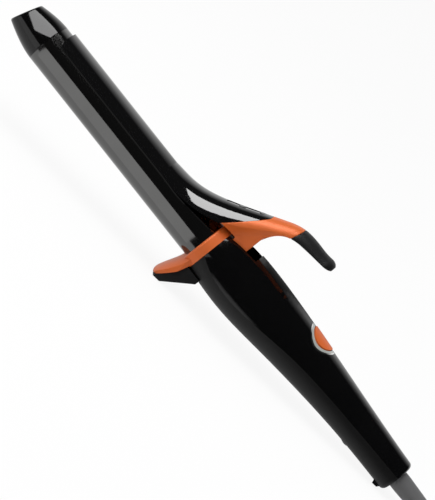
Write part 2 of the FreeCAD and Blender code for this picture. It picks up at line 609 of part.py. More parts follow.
def bracket():
    base_top = "(stem_flat + bracket_sheet)"
    front = f"{PIVOT_X} - ear_radius"
    base = block("bracket_base", front, f"{PIVOT_X} + 11.4", "bracket_half_width", "stem_flat", base_top)
    ears = []
    for count, side in enumerate(("1", "-1"), start=1):
        y = f"{side} * (bracket_half_width - bracket_sheet * 0.5)"
        ears.append(block(f"ear_{count}", front, f"{PIVOT_X} + ear_radius", "bracket_sheet * 0.5",
                          "stem_flat", "pivot_height", y))
        ears.append(cylinder(f"ear_round_{count}", "ear_radius", "bracket_sheet", PIVOT_X,
                             f"{y} - bracket_sheet * 0.5", "pivot_height", ALONG_Y))
    pin_way = cylinder("bracket_pin_way", "pin_radius + slip_fit", "40", PIVOT_X, "-20", "pivot_height",
                       ALONG_Y)
    holes = [cylinder(f"base_hole_{count}", "board_screw_radius + slip_fit", "8", x, "0", "stem_flat - 3",
                      ALONG_Z) for count, x in enumerate(BRACKET_SCREWS, start=1)]
    node(cut("bracket_whole", join("bracket_sheets", base, *ears), pin_way, *holes), "hinge_bracket")
    screws("bracket_screws", BRACKET_SCREWS, ["0"] * 2, base_top, "board_screw_radius", "4", "1.7", "1.1")
    reach = "(lever_half_width + 0.1)"
    rod = cylinder("pin_rod", "pin_radius", f"2 * {reach} + pin_head", PIVOT_X, f"-{reach}", "pivot_height",
                   ALONG_Y)
    head = cylinder("pin_cap", "pin_head_radius", "pin_head", PIVOT_X, f"-{reach} - pin_head",
                    "pivot_height", ALONG_Y)
    node(join("pin_whole", rod, head), "pivot_pin")
    disc = cylinder("ring_disc", "pin_head_radius", "pin_head", PIVOT_X, reach, "pivot_height", ALONG_Y)
    hole = cylinder("ring_hole", "pin_radius", "5", PIVOT_X, f"{reach} - 2", "pivot_height", ALONG_Y)
    node(cut("ring_clip", disc, hole), "pin_retainer")


def screws(label, xs, ys, head_low, radius, length, head_radius, head_height, upward=False):
    """Identical screws as one node: a shank and a crossed head each."""
    wholes = []
    for count, (x, y) in enumerate(zip(xs, ys), start=1):
        low = head_low if isinstance(head_low, str) else head_low[count - 1]
        tag = f"{label}_{count}"
        if upward:
            shank = cylinder(tag + "_shank", radius, length, x, y, low, ALONG_Z)
            head = cylinder(tag + "_head", head_radius, head_height, x, y, f"{low} - {head_height}", ALONG_Z)
            slot_low = f"{low} - {head_height} - 1"
        else:
            shank = cylinder(tag + "_shank", radius, length, x, y, f"{low} - {length}", ALONG_Z)
            head = cylinder(tag + "_head", head_radius, head_height, x, y, low, ALONG_Z)
            slot_low = f"{low} + {head_height} * 0.5"
        arm = f"{head_radius} * 0.6"
        slots = [block(tag + "_slot_a", f"{x} - {arm}", f"{x} + {arm}", "0.25", slot_low,
                       f"{slot_low} + 1 + {head_height} * 0.5", y),
                 block(tag + "_slot_b", f"{x} - 0.25", f"{x} + 0.25", arm, slot_low,
                       f"{slot_low} + 1 + {head_height} * 0.5", y)]
        wholes.append(cut(tag, join(tag + "_rod", shank, head), *slots))
    node(group(label + "_group", *wholes), label)


# Stations of the flare behind the clip's straight part: place behind the guard's front, centre's
# height, and how much less than the clip's radius the half height and the half width are.
FLARE = [("-42", "0", "0", "0"), ("-32", "1", "0", "0"), ("-22", "3.5", "0.1", "0.1"),
         ("-12", "8.6", "0.6", "0.6"), ("-2", "15.4", "1.5", "1.5"), ("8", "23.9", "3.5", "3.2"),
         ("18", "32.9", "5.9", "5.2"), ("28", "40.2", "7.9", "6.5"), ("38", "42.1", "8.5", "7"),
         ("48", "42.3", "8.5", "7"), ("58", "42.3", "8.6", "7")]


def horn(name, shrink):
    """The flaring form that the clip and the lever share, or one nested inside it."""
    stations = [(f"{GUARD_FRONT} + {x}", z, f"{CLIP_RADIUS} - {drop} - {shrink}",
                 f"{CLIP_RADIUS} - {squeeze} - {shrink}") for x, z, drop, squeeze in FLARE]
    flare = loft(name + "_flare", stations, False)
    straight = cylinder(name + "_straight", f"{CLIP_RADIUS} - {shrink}",
                        f"{GUARD_FRONT} - 42 - clip_start + 5", "clip_start - 5")
    return join(name, straight, flare)


EDGE_Z = f"({CLIP_RADIUS} * cos(clip_wrap))"
PLATE_BACK = [(f"{GUARD_FRONT} - 3", "15.2"), (f"{GUARD_FRONT} + 12.6", "36.8")]
RIVETS = [FLARE[4], FLARE[5]]
RIVET_LEAN = -32


def rivet_parts(name, radius, drop, length):
    """One cylinder for each clip rivet, square to the flare, from a depth under its surface."""
    rods = []
    for count, (x, z, squash, squeeze) in enumerate(RIVETS, start=1):
        sunk = f"(({drop}) + ({length}))"
        rods.append(cylinder(f"{name}_{count}", radius, length,
                             f"{GUARD_FRONT} + {x} - {sunk} * sin({RIVET_LEAN})", "0",
                             f"{z} + {CLIP_RADIUS} - {squash} - {sunk} * cos({RIVET_LEAN})",
                             Rotation(Vector(0, 1, 0), RIVET_LEAN)))
    return rods


def clip_and_lever():
    outer = horn("horn_outer", "0")
    plate_side = prism("plate_side", "XZ_Plane", "30", [
        ("clip_start", "60"), ("clip_start", f"{EDGE_Z} + clip_corner"),
        [("clip_start", EDGE_Z), ("clip_start + clip_corner", EDGE_Z)],
        (f"{GUARD_FRONT} - 30", EDGE_Z),
        [(f"{GUARD_FRONT} - 18", f"{EDGE_Z} + 1"), (f"{GUARD_FRONT} - 10", f"{EDGE_Z} + 5"), PLATE_BACK[0]],
        PLATE_BACK[1], (f"{GUARD_FRONT} + 12.6", "60")])
    plate = common("plate", cut("plate_horn", outer, horn("horn_inner", "clip_sheet")), plate_side)
    oblong = [block("recess_middle", f"{GUARD_FRONT} - recess_reach", f"{GUARD_FRONT} + recess_reach",
                    "recess_half_width", "10", "60")]
    for count, side in enumerate(("-", "+"), start=1):
        oblong.append(cylinder(f"recess_end_{count}", "recess_half_width", "50",
                               f"{GUARD_FRONT} {side} recess_reach", "0", "10", ALONG_Z))
    recess = cut("recess", join("oblong", *oblong), horn("horn_recess", "recess_depth"))
    rivet_ways = rivet_parts("rivet_way", "rivet_radius + slip_fit", "-5", "12")
    saddle_low = f"({GUARD_RADIUS} + free_gap)"
    tip = f"({GUARD_FRONT} + lever_reach)"
    arch_x = f"({HANDLE_FRONT} + 12.2)"
    lever_side = prism("lever_side", "XZ_Plane", "30", [
        (f"{GUARD_FRONT} - 3.4", saddle_low), (arch_x, saddle_low), (arch_x, "22"),
        [(f"{arch_x} + 0.3", "31"), (f"{arch_x} + 6.3", "41.3"), (f"{arch_x} + 19.8", "41.7"), (tip, "44")],
        (tip, "60"), (f"{GUARD_FRONT} - 6", "60"), (f"{GUARD_FRONT} - 9", "26")])
    full_lever = common("lever_full", outer, lever_side)
    room = common("lever_room", horn("horn_room", "lever_wall"), prism("room_side", "XZ_Plane", "30", [
        (f"{GUARD_FRONT} - 20", "0"), (f"{arch_x} - 1.8", "0"), (f"{arch_x} - 1.8", "33"),
        (f"{GUARD_FRONT} + 2", "60"), (f"{GUARD_FRONT} - 20", "60")]))
    lobe_low = "(pivot_height - lobe_radius)"
    lobe_side = f"({lobe_low} + lobe_radius * 0.45)"
    cheeks = prism("cheeks", "XZ_Plane", "lever_half_width", [
        (f"{PIVOT_X} - 6", saddle_low), (f"{PIVOT_X} - lobe_radius", saddle_low),
        (f"{PIVOT_X} - lobe_radius", "pivot_height"),
        [(f"{PIVOT_X} - lobe_radius", lobe_side), (f"{PIVOT_X} - lobe_radius * 0.55", lobe_low),
         (PIVOT_X, lobe_low)],
        [(f"{PIVOT_X} + lobe_radius * 0.55", lobe_low), (f"{PIVOT_X} + lobe_radius", lobe_side),
         (arch_x, "16")],
        (arch_x, "32"), (f"{PIVOT_X} - 6", "22.5")])
    gap = prism("cheek_gap", "XZ_Plane", "lever_half_width - lever_cheek", [
        (f"{PIVOT_X} - 12", "0"), (f"{arch_x} + 1", "0"), (f"{arch_x} + 1", "pivot_height + 4.1"),
        (f"{arch_x} - 1.8", "pivot_height + 4.1"), (f"{arch_x} - 1.8", "32"), (f"{PIVOT_X} - 6", "22.5"),
        (f"{PIVOT_X} - 12", "18")])
    pin_way = cylinder("lever_pin_way", "pin_radius + running_fit", "40", PIVOT_X, "-20", "pivot_height",
                       ALONG_Y)
    grip_front = f"({GUARD_FRONT} + 26)"
    core = common("grip_core", horn("horn_core", "grip_wall"), prism("core_side", "XZ_Plane", "30", [
        (f"{GUARD_FRONT} + 20", "30"), (f"{arch_x} + 19.8", "41.7"), (f"{tip} - grip_wall", "44"),
        (f"{tip} - grip_wall", "60"), (f"{GUARD_FRONT} + 20", "60")]))
    grip_side = prism("grip_side", "XZ_Plane", "30", [
        (f"{grip_front} - 1", "30"), (f"{tip} + 3", "30"), (f"{tip} + 3", "60"), (f"{grip_front} + 6", "60")])
    grip = cut("grip_whole", common("grip_outer", full_lever, grip_side), core)
    node(grip, "thumb_grip")
    shell = cut("lever_shell", full_lever, room)
    grip_space = cut("grip_space", grip_side, core)
    lever = cut("lever_whole", join("lever_parts", shell, cheeks), gap, plate, pin_way, grip_space,
                *rivet_ways)
    node(lever, "thumb_lever")
    heads = rivet_parts("rivet_top", "rivet_head_radius", "recess_depth - rivet_head", "rivet_head")
    tails = rivet_parts("rivet_tail", "rivet_head_radius", "lever_wall", "rivet_head * 2")
    shanks = rivet_parts("rivet_rod", "rivet_radius", "recess_depth", "lever_wall - recess_depth")
    node(cut("plate_whole", plate, recess, *rivet_ways, *heads), "clip_plate")
    rivets = [join(f"rivet_{count}", *parts)
              for count, parts in enumerate(zip(shanks, heads, tails), start=1)]
    node(group("rivets", *rivets), "clip_rivets")


def coil_spring(name, radius, wire, height, turns, x, y, z, turn):
    """A round wire wound on a helix."""
    helix = document.addObject("Part::Helix", name + "_helix")
    bind(helix, Radius=radius, Height=height, Pitch=f"({height}) / ({turns})")
    section = document.addObject("Part::Circle", name + "_section")
    bind(section, Radius=wire)
    put(section, radius, "0", "0", Rotation(Vector(1, 0, 0), 90))
    spring = document.addObject("Part::Sweep", name)
    spring.Sections = [section]
    spring.Spine = (helix, ["Edge1"])
    spring.Solid = True
    spring.Frenet = True
    return put(spring, x, y, z, turn)


def springs():
    width = "(2 * (bracket_half_width - bracket_sheet) - 1.6)"
    wire = "(spring_wire * 0.5)"
    coil = coil_spring("return_coil", "spring_radius", wire, width, "4.5", PIVOT_X, f"-{width} * 0.5",
                       "pivot_height", ALONG_Y)
    leg_low = cylinder("spring_leg_low", wire, "8", PIVOT_X, f"-{width} * 0.5",
                       f"stem_flat + bracket_sheet + {wire}", ALONG_X)
    leg_high = cylinder("spring_leg_high", wire, "12", f"{PIVOT_X} - spring_radius", f"{width} * 0.5",
                        "pivot_height", ALONG_Z)
    node(join("return_whole", coil, leg_low, leg_high), "return_spring")
    push = coil_spring("button_coil", "3", "0.3", "button_floor + 1.9 - board_top - switch_height", "4",
                       BUTTON_X, "0", f"{SWITCH_TOP} + 0.3", ALONG_Z)
    node(group("push_whole", push), "button_spring")


def electronics():
    board = block("board_plate", f"{HANDLE_FRONT} + board_front", BOARD_END, "board_half_width",
                  BOARD_UNDER, "board_top")
    holes = [cylinder(f"board_hole_{count}", "board_screw_radius + slip_fit", "6", x, y,
                      f"{BOARD_UNDER} - 2", ALONG_Z) for count, (x, y) in enumerate(BOARD_POSTS, start=1)]
    node(cut("board_whole", board, *holes), "circuit_board")
    screws("board_screws", [x for x, y in BOARD_POSTS], [y for x, y in BOARD_POSTS], "board_top",
           "board_screw_radius", "5.4", "1.8", "1.1")
    case = block("switch_case", f"{BUTTON_X} - 3.5", f"{BUTTON_X} + 3.5", "3.5", "board_top", SWITCH_TOP)
    way = cylinder("plunger_way", "1.5 + running_fit", "8", BUTTON_X, "0", "board_top + 1", ALONG_Z)
    node(cut("switch_whole", case, way), "power_switch")
    plunger = cylinder("plunger", "1.5", f"{SWITCH_TIP} - board_top - 2.4", BUTTON_X, "0",
                       "board_top + 2.4", ALONG_Z)
    node(group("plunger_whole", plunger), "switch_plunger")
    first = f"({HANDLE_FRONT} + board_front)"
    tab = block("triac_tab", f"{first} + 8", f"{first} + 9.2", "4.5", "board_top", "board_top + 9")
    case = block("triac_case", f"{first} + 9.2", f"{first} + 12", "4.5", "board_top", "board_top + 6")
    node(join("triac_whole", tab, case), "triac")
    box = block("capacitor_box", f"{first} + 14.5", f"{first} + 21", "6.5", "board_top", "board_top + 6.5")
    node(group("capacitor_whole", box), "capacitor")
    glass = cylinder("fuse_glass", "1.9", "14", f"{first} + 24.5", "-7", "board_top + 2.1", ALONG_Y)
    caps = [cylinder(f"fuse_cap_{count}", "2.1", "3", f"{first} + 24.5", y, "board_top + 2.1", ALONG_Y)
            for count, y in enumerate(("-7.4", "4.4"), start=1)]
    node(join("fuse_whole", glass, *caps), "line_fuse")
    lens = document.addObject("Part::Sphere", "led_dome")
    bind(lens, Radius="1.2")
    put(lens, BUTTON_X, "7.2", "board_top + 2")
    stalk = cylinder("led_barrel", "1.2", "2", BUTTON_X, "7.2", "board_top", ALONG_Z)
    node(join("led_whole", stalk, lens), "indicator_led")
    block_x = f"({BOARD_END} - 9.6)"
    terminal = block("terminal_case", block_x, f"{block_x} + 8", "3.6", "board_top", "board_top + 5")
    doors = [cylinder(f"terminal_way_{count}", "1", "5", f"{block_x} + 3.5", y, "board_top + 2.4")
             for count, y in enumerate(("1.8", "-1.8"), start=1)]
    node(cut("terminal_whole", terminal, *doors), "terminal_block")


def heater():
    half = f"({BORE_RADIUS} - core_gap)"
    for label, low, high in (("heater_core_upper", "heater_sheet * 0.5", "20"),
                             ("heater_core_lower", "-20", "-heater_sheet * 0.5")):
        rod = cylinder(label + "_rod", half, "core_length", "core_start")
        half_space = block(label + "_half", "core_start - 1", f"{CORE_END} + 1", "20", low, high)
        node(common(label + "_whole", rod, half_space), label)
    chips = [block(f"chip_{count}", f"core_start + {start}", f"core_start + {start} + 22",
                   "heater_half_width", "-heater_sheet * 0.5", "heater_sheet * 0.5")
             for count, start in enumerate(("16", "40", "64"), start=1)]
    node(group("chips", *chips), "heater_chips")
    can = cylinder("cutout_can", "2", f"{HANDLE_FRONT} - plug_length - 0.4 - {CORE_END}",
                   f"{CORE_END} + 0.1", "6", "5.4")
    node(group("cutout_whole", can), "thermal_cutout")


def rounded_path(points):
    """Straight runs joined by tangent arcs, and the arcs' radii."""
    edges = []
    radii = []
    last = points[0]
    for before, corner, after in zip(points, points[1:], points[2:]):
        arrive = (corner - before).normalize()
        leave = (after - corner).normalize()
        half_turn = arrive.getAngle(leave) / 2
        reach = 0.45 * min((corner - before).Length, (after - corner).Length)
        start = corner - arrive * reach
        end = corner + leave * reach
        bend = reach / math.tan(half_turn)
        inward = (leave - arrive).normalize()
        middle = corner + inward * (bend / math.cos(half_turn) - bend)
        edges.append(Part.LineSegment(last, start).toShape())
        edges.append(Part.Arc(start, middle, end).toShape())
        radii.append(bend)
        last = end
    edges.append(Part.LineSegment(last, points[-1]).toShape())
    return Part.Wire(edges), radii


def swept(points, radius):
    """A round bar along a path of straight runs and arcs; prints its length, bends and volume."""
    path, radii = rounded_path(points)
    section = Part.Wire([Part.Circle(points[0], points[1] - points[0], radius).toShape()])
    bar = path.makePipeShell([section], True, False)
    plain = math.pi * radius ** 2 * path.Length
    print(f"bar of radius {radius}: length {path.Length:.1f}, volume over section x length "
          f"{bar.Volume / plain:.4f}, radii {[round(value, 1) for value in radii]}")
    return bar


def shown(name, shape):
    """A shape drawn in code as an object of the document."""
    thing = document.addObject("Part::Feature", name)
    thing.Shape = shape
    return thing


def leads():
    """Heater leads from the heater to the board, mains leads from the brushes to the terminals."""
    first = f"({HANDLE_FRONT} + board_front)"
    for label, route in (
            ("heater_leads", [(f"{CORE_END}", "2.2", "0"), (f"{HANDLE_FRONT} + 20", "2.4", "0.2"),
                              (f"{HANDLE_FRONT} + 33", "5.4", "2.5"),
                              (f"{first} + 4", "5.2", "board_top + 2.6"),
                              (f"{first} + 7.5", "2.6", "board_top + 3.2")]),
            ("mains_leads", [(f"{HANDLE_END} - 25", "6.5", "2.2"), (f"{HANDLE_END} - 32", "6.2", "2"),
                             (f"{HANDLE_FRONT} + middle_screw + 7", "5.8", "4"),
                             (f"{HANDLE_FRONT} + middle_screw - 6", "5.2", "board_top + 2"),
                             (f"{BOARD_END} + 2", "2.4", "board_top + 2.4"),
                             (f"{BOARD_END} - 2", "1.8", "board_top + 2.4")])):
        wires = [swept([Vector(number(x), side * number(y), number(z)) for x, y, z in route], 0.8)
                 for side in (1, -1)]
        node(shown(label, Part.Compound(wires)), label)


def swivel():
    """The gland that turns in the handle's end, its rings and brushes, and the strain relief."""
    back = GLAND_BACK
    front = f"({HANDLE_END} - 24)"
    gland = join("gland_parts",
                 cylinder("gland_journal", "gland_radius", f"{back} - {front}", front, "0", "tail_rise"),
                 cylinder("gland_head", "gland_flange", "2.7", f"{back} - 2.7", "0", "tail_rise"),
                 cylinder("gland_stop", "gland_flange - 0.8", "1.4", f"{HANDLE_END} - 13.7", "0",
                          "tail_rise"))
    bore = cylinder("gland_bore", "2", "60", f"{front} + 3", "0", "tail_rise")
    node(cut("gland_whole", gland, bore), "swivel_gland")
    rings = []
    brushes = []
    holders = []
    for count, shift in enumerate(("1", "5.5"), start=1):
        rings.append(cut(f"slip_ring_{count}",
                         cylinder(f"slip_out_{count}", "gland_radius + 0.7", "3", f"{front} + {shift}", "0",
                                  "tail_rise"),
                         cylinder(f"slip_in_{count}", "gland_radius", "5", f"{front} + {shift} - 1", "0",
                                  "tail_rise")))
        side = "1" if count == 1 else "-1"
        brush_y = f"{side} * (gland_radius + 0.7 + running_fit + 0.3)"
        brushes.append(block(f"brush_{count}", f"{front} + {shift} + 0.3", f"{front} + {shift} + 2.7",
                             "0.3", "tail_rise - 2.6", "tail_rise + 2.6", brush_y))
        holders.append(block(f"holder_{count}", f"{front} - 1", f"{front} + 9.5", "0.7",
                             "tail_rise - 2.2", "tail_rise + 2.2", f"{brush_y} + {side}"))
    for label, solids in (("slip_rings", rings), ("brush_contacts", brushes), ("brush_holders", holders)):
        node(group(label + "_group", *solids), label)
    relief = document.addObject("Part::Cone", "relief_cone")
    bind(relief, Radius1="relief_radius", Radius2="relief_tip_radius", Height="relief_length - rear_wall - 5")
    put(relief, f"{HANDLE_END} + 5", "0", "tail_rise", ALONG_X)
    root = cylinder("relief_root", "relief_radius", f"{HANDLE_END} + 5 - {back}", back, "0", "tail_rise")
    node(join("relief_whole", root, relief), "strain_relief")


def stood(x, z):
    """A place on the barrel's middle plane, in the standing frame."""
    lean = math.atan(number(FLOOR_SLOPE))
    along = number(x) - number(FOOT_X)
    up = number(z) + number("foot_drop")
    return Vector(along * math.cos(lean) + up * math.sin(lean), 0,
                  up * math.cos(lean) - along * math.sin(lean))


# The cord's route from the strain relief to the hank's first turn on the floor, and from the near
# fold of its last turn over the hank to the plug, both from the middle of the hank.
CORD_TO_HANK = [(-77.9, 0, 3.5), (-63.3, -6.9, 3.5), (-53, -19.4, 3.7), (-38.4, -26.3, 4.1),
                (-22, -26.3, 4.2)]
CORD_TO_PLUG = [(-26.1, 19.8, 17.4), (-33.9, 19.8, 17.9), (-41.2, 16.8, 19.3), (-46.8, 11.2, 21.1),
                (-49.8, 3.9, 22.8), (-49.8, -3.9, 23.6), (-46.8, -11.2, 23.9), (-41.2, -16.8, 24.1),
                (-33.9, -19.8, 24.3), (-26.1, -19.8, 24.5), (-10.6, -19.8, 25.6), (3.3, -13, 26.9),
                (12.3, -13, 27.6)]


def mains_cord():
    radius = number("cord_diameter / 2")
    start = stood(f"{HANDLE_END} + relief_length - rear_wall", "tail_rise")
    lean = math.atan(number(FLOOR_SLOPE))
    second = start + Vector(math.cos(lean), 0, -math.sin(lean)) * 13
    middle = start + Vector(number("hank_place"), 0, 0)
    middle.z = 0
    route = [start, second] + [middle + Vector(x, y, z) for x, y, z in CORD_TO_HANK]
    node(shown("cord_bar", swept(route, radius)), "cord_run", False)
    hank(middle)
    tail = [middle + Vector(x, y, z) for x, y, z in CORD_TO_PLUG]
    node(shown("tail_bar", swept(tail, radius)), "cord_tail", False)
    plug(tail[-1])


def racetrack(middle, radius, low, high):
    """An upright solid with two round ends, as far apart as the hank's straight stretches are long."""
    half = number("hank_run / 2")
    sides = []
    for side in (1, -1):
        near = middle + Vector(-side * half, -side * radius, low)
        far = middle + Vector(side * half, -side * radius, low)
        tip = middle + Vector(side * (half + radius), 0, low)
        beyond = middle + Vector(side * half, side * radius, low)
        sides += [Part.makeLine(near, far), Part.Arc(far, tip, beyond).toShape()]
    return Part.Face(Part.Wire(sides)).extrude(Vector(0, 0, high - low))


def hank(middle):
    """The stored turns as one ring, two turns wide and three high, and the strap that ties them."""
    round_off = number("cord_diameter / 2 - 0.05")
    outer = number("hank_fold + hank_pitch + cord_diameter / 2")
    inner = number("hank_fold - cord_diameter / 2")
    base = number("hank_base")
    top = base + number("hank_pitch * 2 + cord_diameter")
    turns = racetrack(middle, outer, base, top)
    turns = turns.makeFillet(round_off, [edge for edge in turns.Edges if edge.BoundBox.ZLength < 0.01])
    hole = racetrack(middle, inner, base - 1, top + 1)
    node(shown("hank_turns", turns.cut(hole)), "cord_hank", False)
    wide = number("tie_width")
    shells = []
    for grow in (number("tie_gap + tie_wall"), number("tie_gap")):
        corner = middle + Vector(-wide / 2, -outer - grow, base - grow)
        block = Part.makeBox(wide, 2 * (outer + grow), top - base + 2 * grow, corner)
        long = [edge for edge in block.Edges if edge.BoundBox.XLength > wide - 0.01]
        shells.append(block.makeFillet(round_off + grow, long))
    node(shown("tie_strap", shells[0].cut(shells[1])), "cord_tie", False)


def plug(entry):
    """Two-pin plug on the hank, its entry at the cord's end and its pins pointing away from the iron."""
    thick = number("plug_thickness")
    wide = number("plug_width")
    face_y = 20 + number("plug_body_length")
    along = Vector(0, 1, 0)
    sleeve = Part.makeCone(number("cord_diameter / 2 + 0.6"), 5.4, 20, Vector(), along)
    corners = [(-7, 20), (7, 20), (wide / 2, 31), (wide / 2, face_y), (-wide / 2, face_y), (-wide / 2, 31)]
    face = Part.Face(Part.makePolygon([Vector(x, y, -thick / 2) for x, y in corners + corners[:1]]))
    slab = face.extrude(Vector(0, 0, thick))
    upright = [edge for edge in slab.Edges if edge.BoundBox.ZLength > 1]
    slab = slab.makeFillet(3, upright)
    shape = slab.fuse(sleeve).removeSplitter()
    neck = number("plug_neck")
    pins = []
    for side in (1, -1):
        foot = Vector(side * number("plug_pin_pitch") / 2, face_y - 6, 0)
        root = Part.makeCylinder(number("plug_neck_radius"), 6 + neck, foot, along)
        shape = shape.cut(root)
        start = Vector(foot.x, face_y + neck, 0)
        pin = Part.makeCylinder(number("plug_pin_radius"), number("plug_pin_length") - neck, start, along)
        rim = [edge for edge in pin.Edges
               if edge.BoundBox.YLength < 0.01 and edge.BoundBox.YMin > start.y + 1]
        pins.append(pin.makeFillet(0.8, rim).fuse(root))
    for name, solid, label in (("plug_case", shape, "plug_body"),
                               ("pin_pair", Part.Compound(pins), "plug_pins")):
        thing = shown(name, solid)
        thing.Placement = Placement(entry, Rotation(Vector(0, 0, 1), -90))
        node(thing, label, False)


def build():
    barrel_tube()
    tip_cap()
    guard()
    handle_pieces()
    socket()
    bracket()
    clip_and_lever()
    springs()
    screws("shell_screws", SHELL_SCREWS, ["0"] * 3, SCREW_SEATS, "screw_radius", "screw_length",
           "screw_head_radius", "screw_head_height", True)
    electronics()
    heater()
    leads()
    swivel()
    mains_cord()


def check():
    """Stops before anything is written when a feature failed or a sub-part has no sound shape."""
    document.recompute()
    failed = [thing.Name for thing in document.Objects if "Invalid" in thing.State or "Error" in thing.State]
    failed += [thing.Label for thing in NODES if thing.Shape.isNull() or not thing.Shape.isValid()]
    if failed:
        raise RuntimeError("failed: " + ", ".join(failed))


def write():
    os.makedirs("parts", exist_ok=True)
    for thing in NODES:
        thing.Shape.exportStep(f"parts/{thing.Label}.step")
        print(f"{thing.Label}: {len(thing.Shape.Solids)} solids, {thing.Shape.Volume:.0f} mm3")


build()
check()
write()
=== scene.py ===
import json
import math

import bmesh
import bpy
from bpy.props import FloatProperty, FloatVectorProperty, PointerProperty
from mathutils import Matrix, Vector


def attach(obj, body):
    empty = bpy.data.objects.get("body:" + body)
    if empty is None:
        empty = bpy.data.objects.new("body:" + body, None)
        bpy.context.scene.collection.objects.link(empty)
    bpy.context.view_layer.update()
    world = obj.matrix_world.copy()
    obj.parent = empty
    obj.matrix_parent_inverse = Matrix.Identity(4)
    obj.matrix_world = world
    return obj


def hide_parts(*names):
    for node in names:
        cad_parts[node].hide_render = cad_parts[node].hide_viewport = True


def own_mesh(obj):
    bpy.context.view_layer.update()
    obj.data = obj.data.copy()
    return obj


bl_info = {
    "name": "Curling iron",
    "version": (1, 0, 0),
    "blender": (4, 5, 0),
    "location": "View3D > Sidebar > Curling iron",
    "description": "Builds a curling iron on its packed frame",
    "category": "Object",
}

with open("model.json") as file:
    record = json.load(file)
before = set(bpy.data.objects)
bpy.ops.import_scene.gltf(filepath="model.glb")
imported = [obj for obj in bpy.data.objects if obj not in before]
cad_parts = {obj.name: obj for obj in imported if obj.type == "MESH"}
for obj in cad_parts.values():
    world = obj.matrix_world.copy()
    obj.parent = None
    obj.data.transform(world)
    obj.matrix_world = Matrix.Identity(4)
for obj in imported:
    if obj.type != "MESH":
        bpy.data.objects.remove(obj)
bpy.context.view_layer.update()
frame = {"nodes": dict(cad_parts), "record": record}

# The barrel's own frame, in millimetres: X along its axis from the tip cap's joint, Z up to the lever.
# The iron stands on its fin and its rear foot, which tips that frame a little.
LEAN = math.radians(7.774863)
FOOT_X = 133.3
FOOT_DROP = 31.2
ALONG = Vector((math.cos(LEAN), 0, -math.sin(LEAN)))
UP = Vector((math.sin(LEAN), 0, math.cos(LEAN)))
ACROSS = Vector((0, 1, 0))
# Turns the standing frame's directions to the barrel's, and back.
TURN = Matrix((ALONG, ACROSS, UP))
TURN_BACK = TURN.to_4x4().inverted()
MM = 1000


def stood(x, y, z):
    """A place in the barrel's frame, in the standing frame and in metres."""
    return (ALONG * (x - FOOT_X) + ACROSS * y + UP * (z + FOOT_DROP)) / MM


def in_barrel(co):
    """A place in the barrel's frame, in millimetres."""
    return TURN @ co * MM + Vector((FOOT_X, 0, -FOOT_DROP))


def corners(points):
    """The lowest and the highest corner of the box round some points."""
    low = Vector([min(point[axis] for point in points) for axis in range(3)])
    high = Vector([max(point[axis] for point in points) for axis in range(3)])
    return low, high


def placed(name, data):
    """A new object in the scene, at the origin."""
    thing = bpy.data.objects.new(name, data)
    bpy.context.scene.collection.objects.link(thing)
    return thing


# Settings -------------------------------------------------------------------------------------


class IronColours(bpy.types.PropertyGroup):
    accent: FloatVectorProperty(name="Accent", description="Lever, guard and button", subtype="COLOR",
                                size=3, min=0, max=1, default=(0.66, 0.125, 0.016))
    upper: FloatVectorProperty(name="Upper shell", description="Polished upper moulding", subtype="COLOR",
                               size=3, min=0, max=1, default=(0.0022, 0.0022, 0.0024))
    lower: FloatVectorProperty(name="Lower shell", description="Matt lower moulding and fin", subtype="COLOR",
                               size=3, min=0, max=1, default=(0.006, 0.006, 0.0061))
    barrel: FloatVectorProperty(name="Barrel", description="Coating of the heated tube", subtype="COLOR",
                                size=3, min=0, max=1, default=(0.147, 0.147, 0.145))
    grip: FloatVectorProperty(name="Grip", description="Soft grip on the lever", subtype="COLOR",
                              size=3, min=0, max=1, default=(0.008, 0.008, 0.0084))
    ring: FloatVectorProperty(name="Light ring", description="Clouded ring round the button",
                              subtype="COLOR", size=3, min=0, max=1, default=(0.36, 0.38, 0.36))


class CordSizes(bpy.types.PropertyGroup):
    diameter: FloatProperty(name="Diameter", description="Mains cord", unit="LENGTH", default=0.0065,
                            min=0.003, max=0.01)
    pitch: FloatProperty(name="Pitch", description="Between neighbouring turns of the stored cord",
                         unit="LENGTH", default=0.00655, min=0.003, max=0.012)
    fold: FloatProperty(name="Inner fold", description="Radius of the stored cord's inner folds",
                        unit="LENGTH", default=0.0198, min=0.01, max=0.05)
    run: FloatProperty(name="Run", description="Straight stretch between the stored cord's folds",
                       unit="LENGTH", default=0.06, min=0.02, max=0.2)
    base: FloatProperty(name="Base", description="Underside of the stored cord", unit="LENGTH",
                        default=0.001, min=0, max=0.01)


class StageLight(bpy.types.PropertyGroup):
    floor: FloatProperty(name="Floor", description="Paleness of the floor", default=0.86, min=0, max=1,
                         subtype="FACTOR")
    surround: FloatProperty(name="Surround", description="Even light from all round", default=0.5, min=0,
                            max=2)
    key: FloatProperty(name="Key lamp", description="Power of the large lamp above", default=10.0, min=0,
                       max=50, unit="POWER")
    panel: FloatProperty(name="Soft panel", description="Brightness of the panel that gloss mirrors",
                         default=6.6, min=0, max=40)
    lower: FloatProperty(name="Lower panel", description="Brightness of the panel below the tip",
                         default=0.95, min=0, max=40)


# Finishes -------------------------------------------------------------------------------------


def material(name):
    """A new material with its principled shader and its object coordinates."""
    made = bpy.data.materials.new(name)
    made.use_nodes = True
    tree = made.node_tree
    shader = tree.nodes["Principled BSDF"]
    place = tree.nodes.new("ShaderNodeTexCoord")
    return made, tree, shader, place.outputs["Object"]


def noise(tree, place, scale, detail=3.0, roughness=0.55):
    node = tree.nodes.new("ShaderNodeTexNoise")
    node.inputs["Scale"].default_value = scale
    node.inputs["Detail"].default_value = detail
    node.inputs["Roughness"].default_value = roughness
    tree.links.new(place, node.inputs["Vector"])
    return node.outputs["Fac"]


def spread(tree, value, low, high, start=0.3, end=0.7):
    """Maps a pattern's middle range to the range of a socket."""
    node = tree.nodes.new("ShaderNodeMapRange")
    for name, number in (("From Min", start), ("From Max", end), ("To Min", low), ("To Max", high)):
        node.inputs[name].default_value = number
    tree.links.new(value, node.inputs["Value"])
    return node.outputs["Result"]


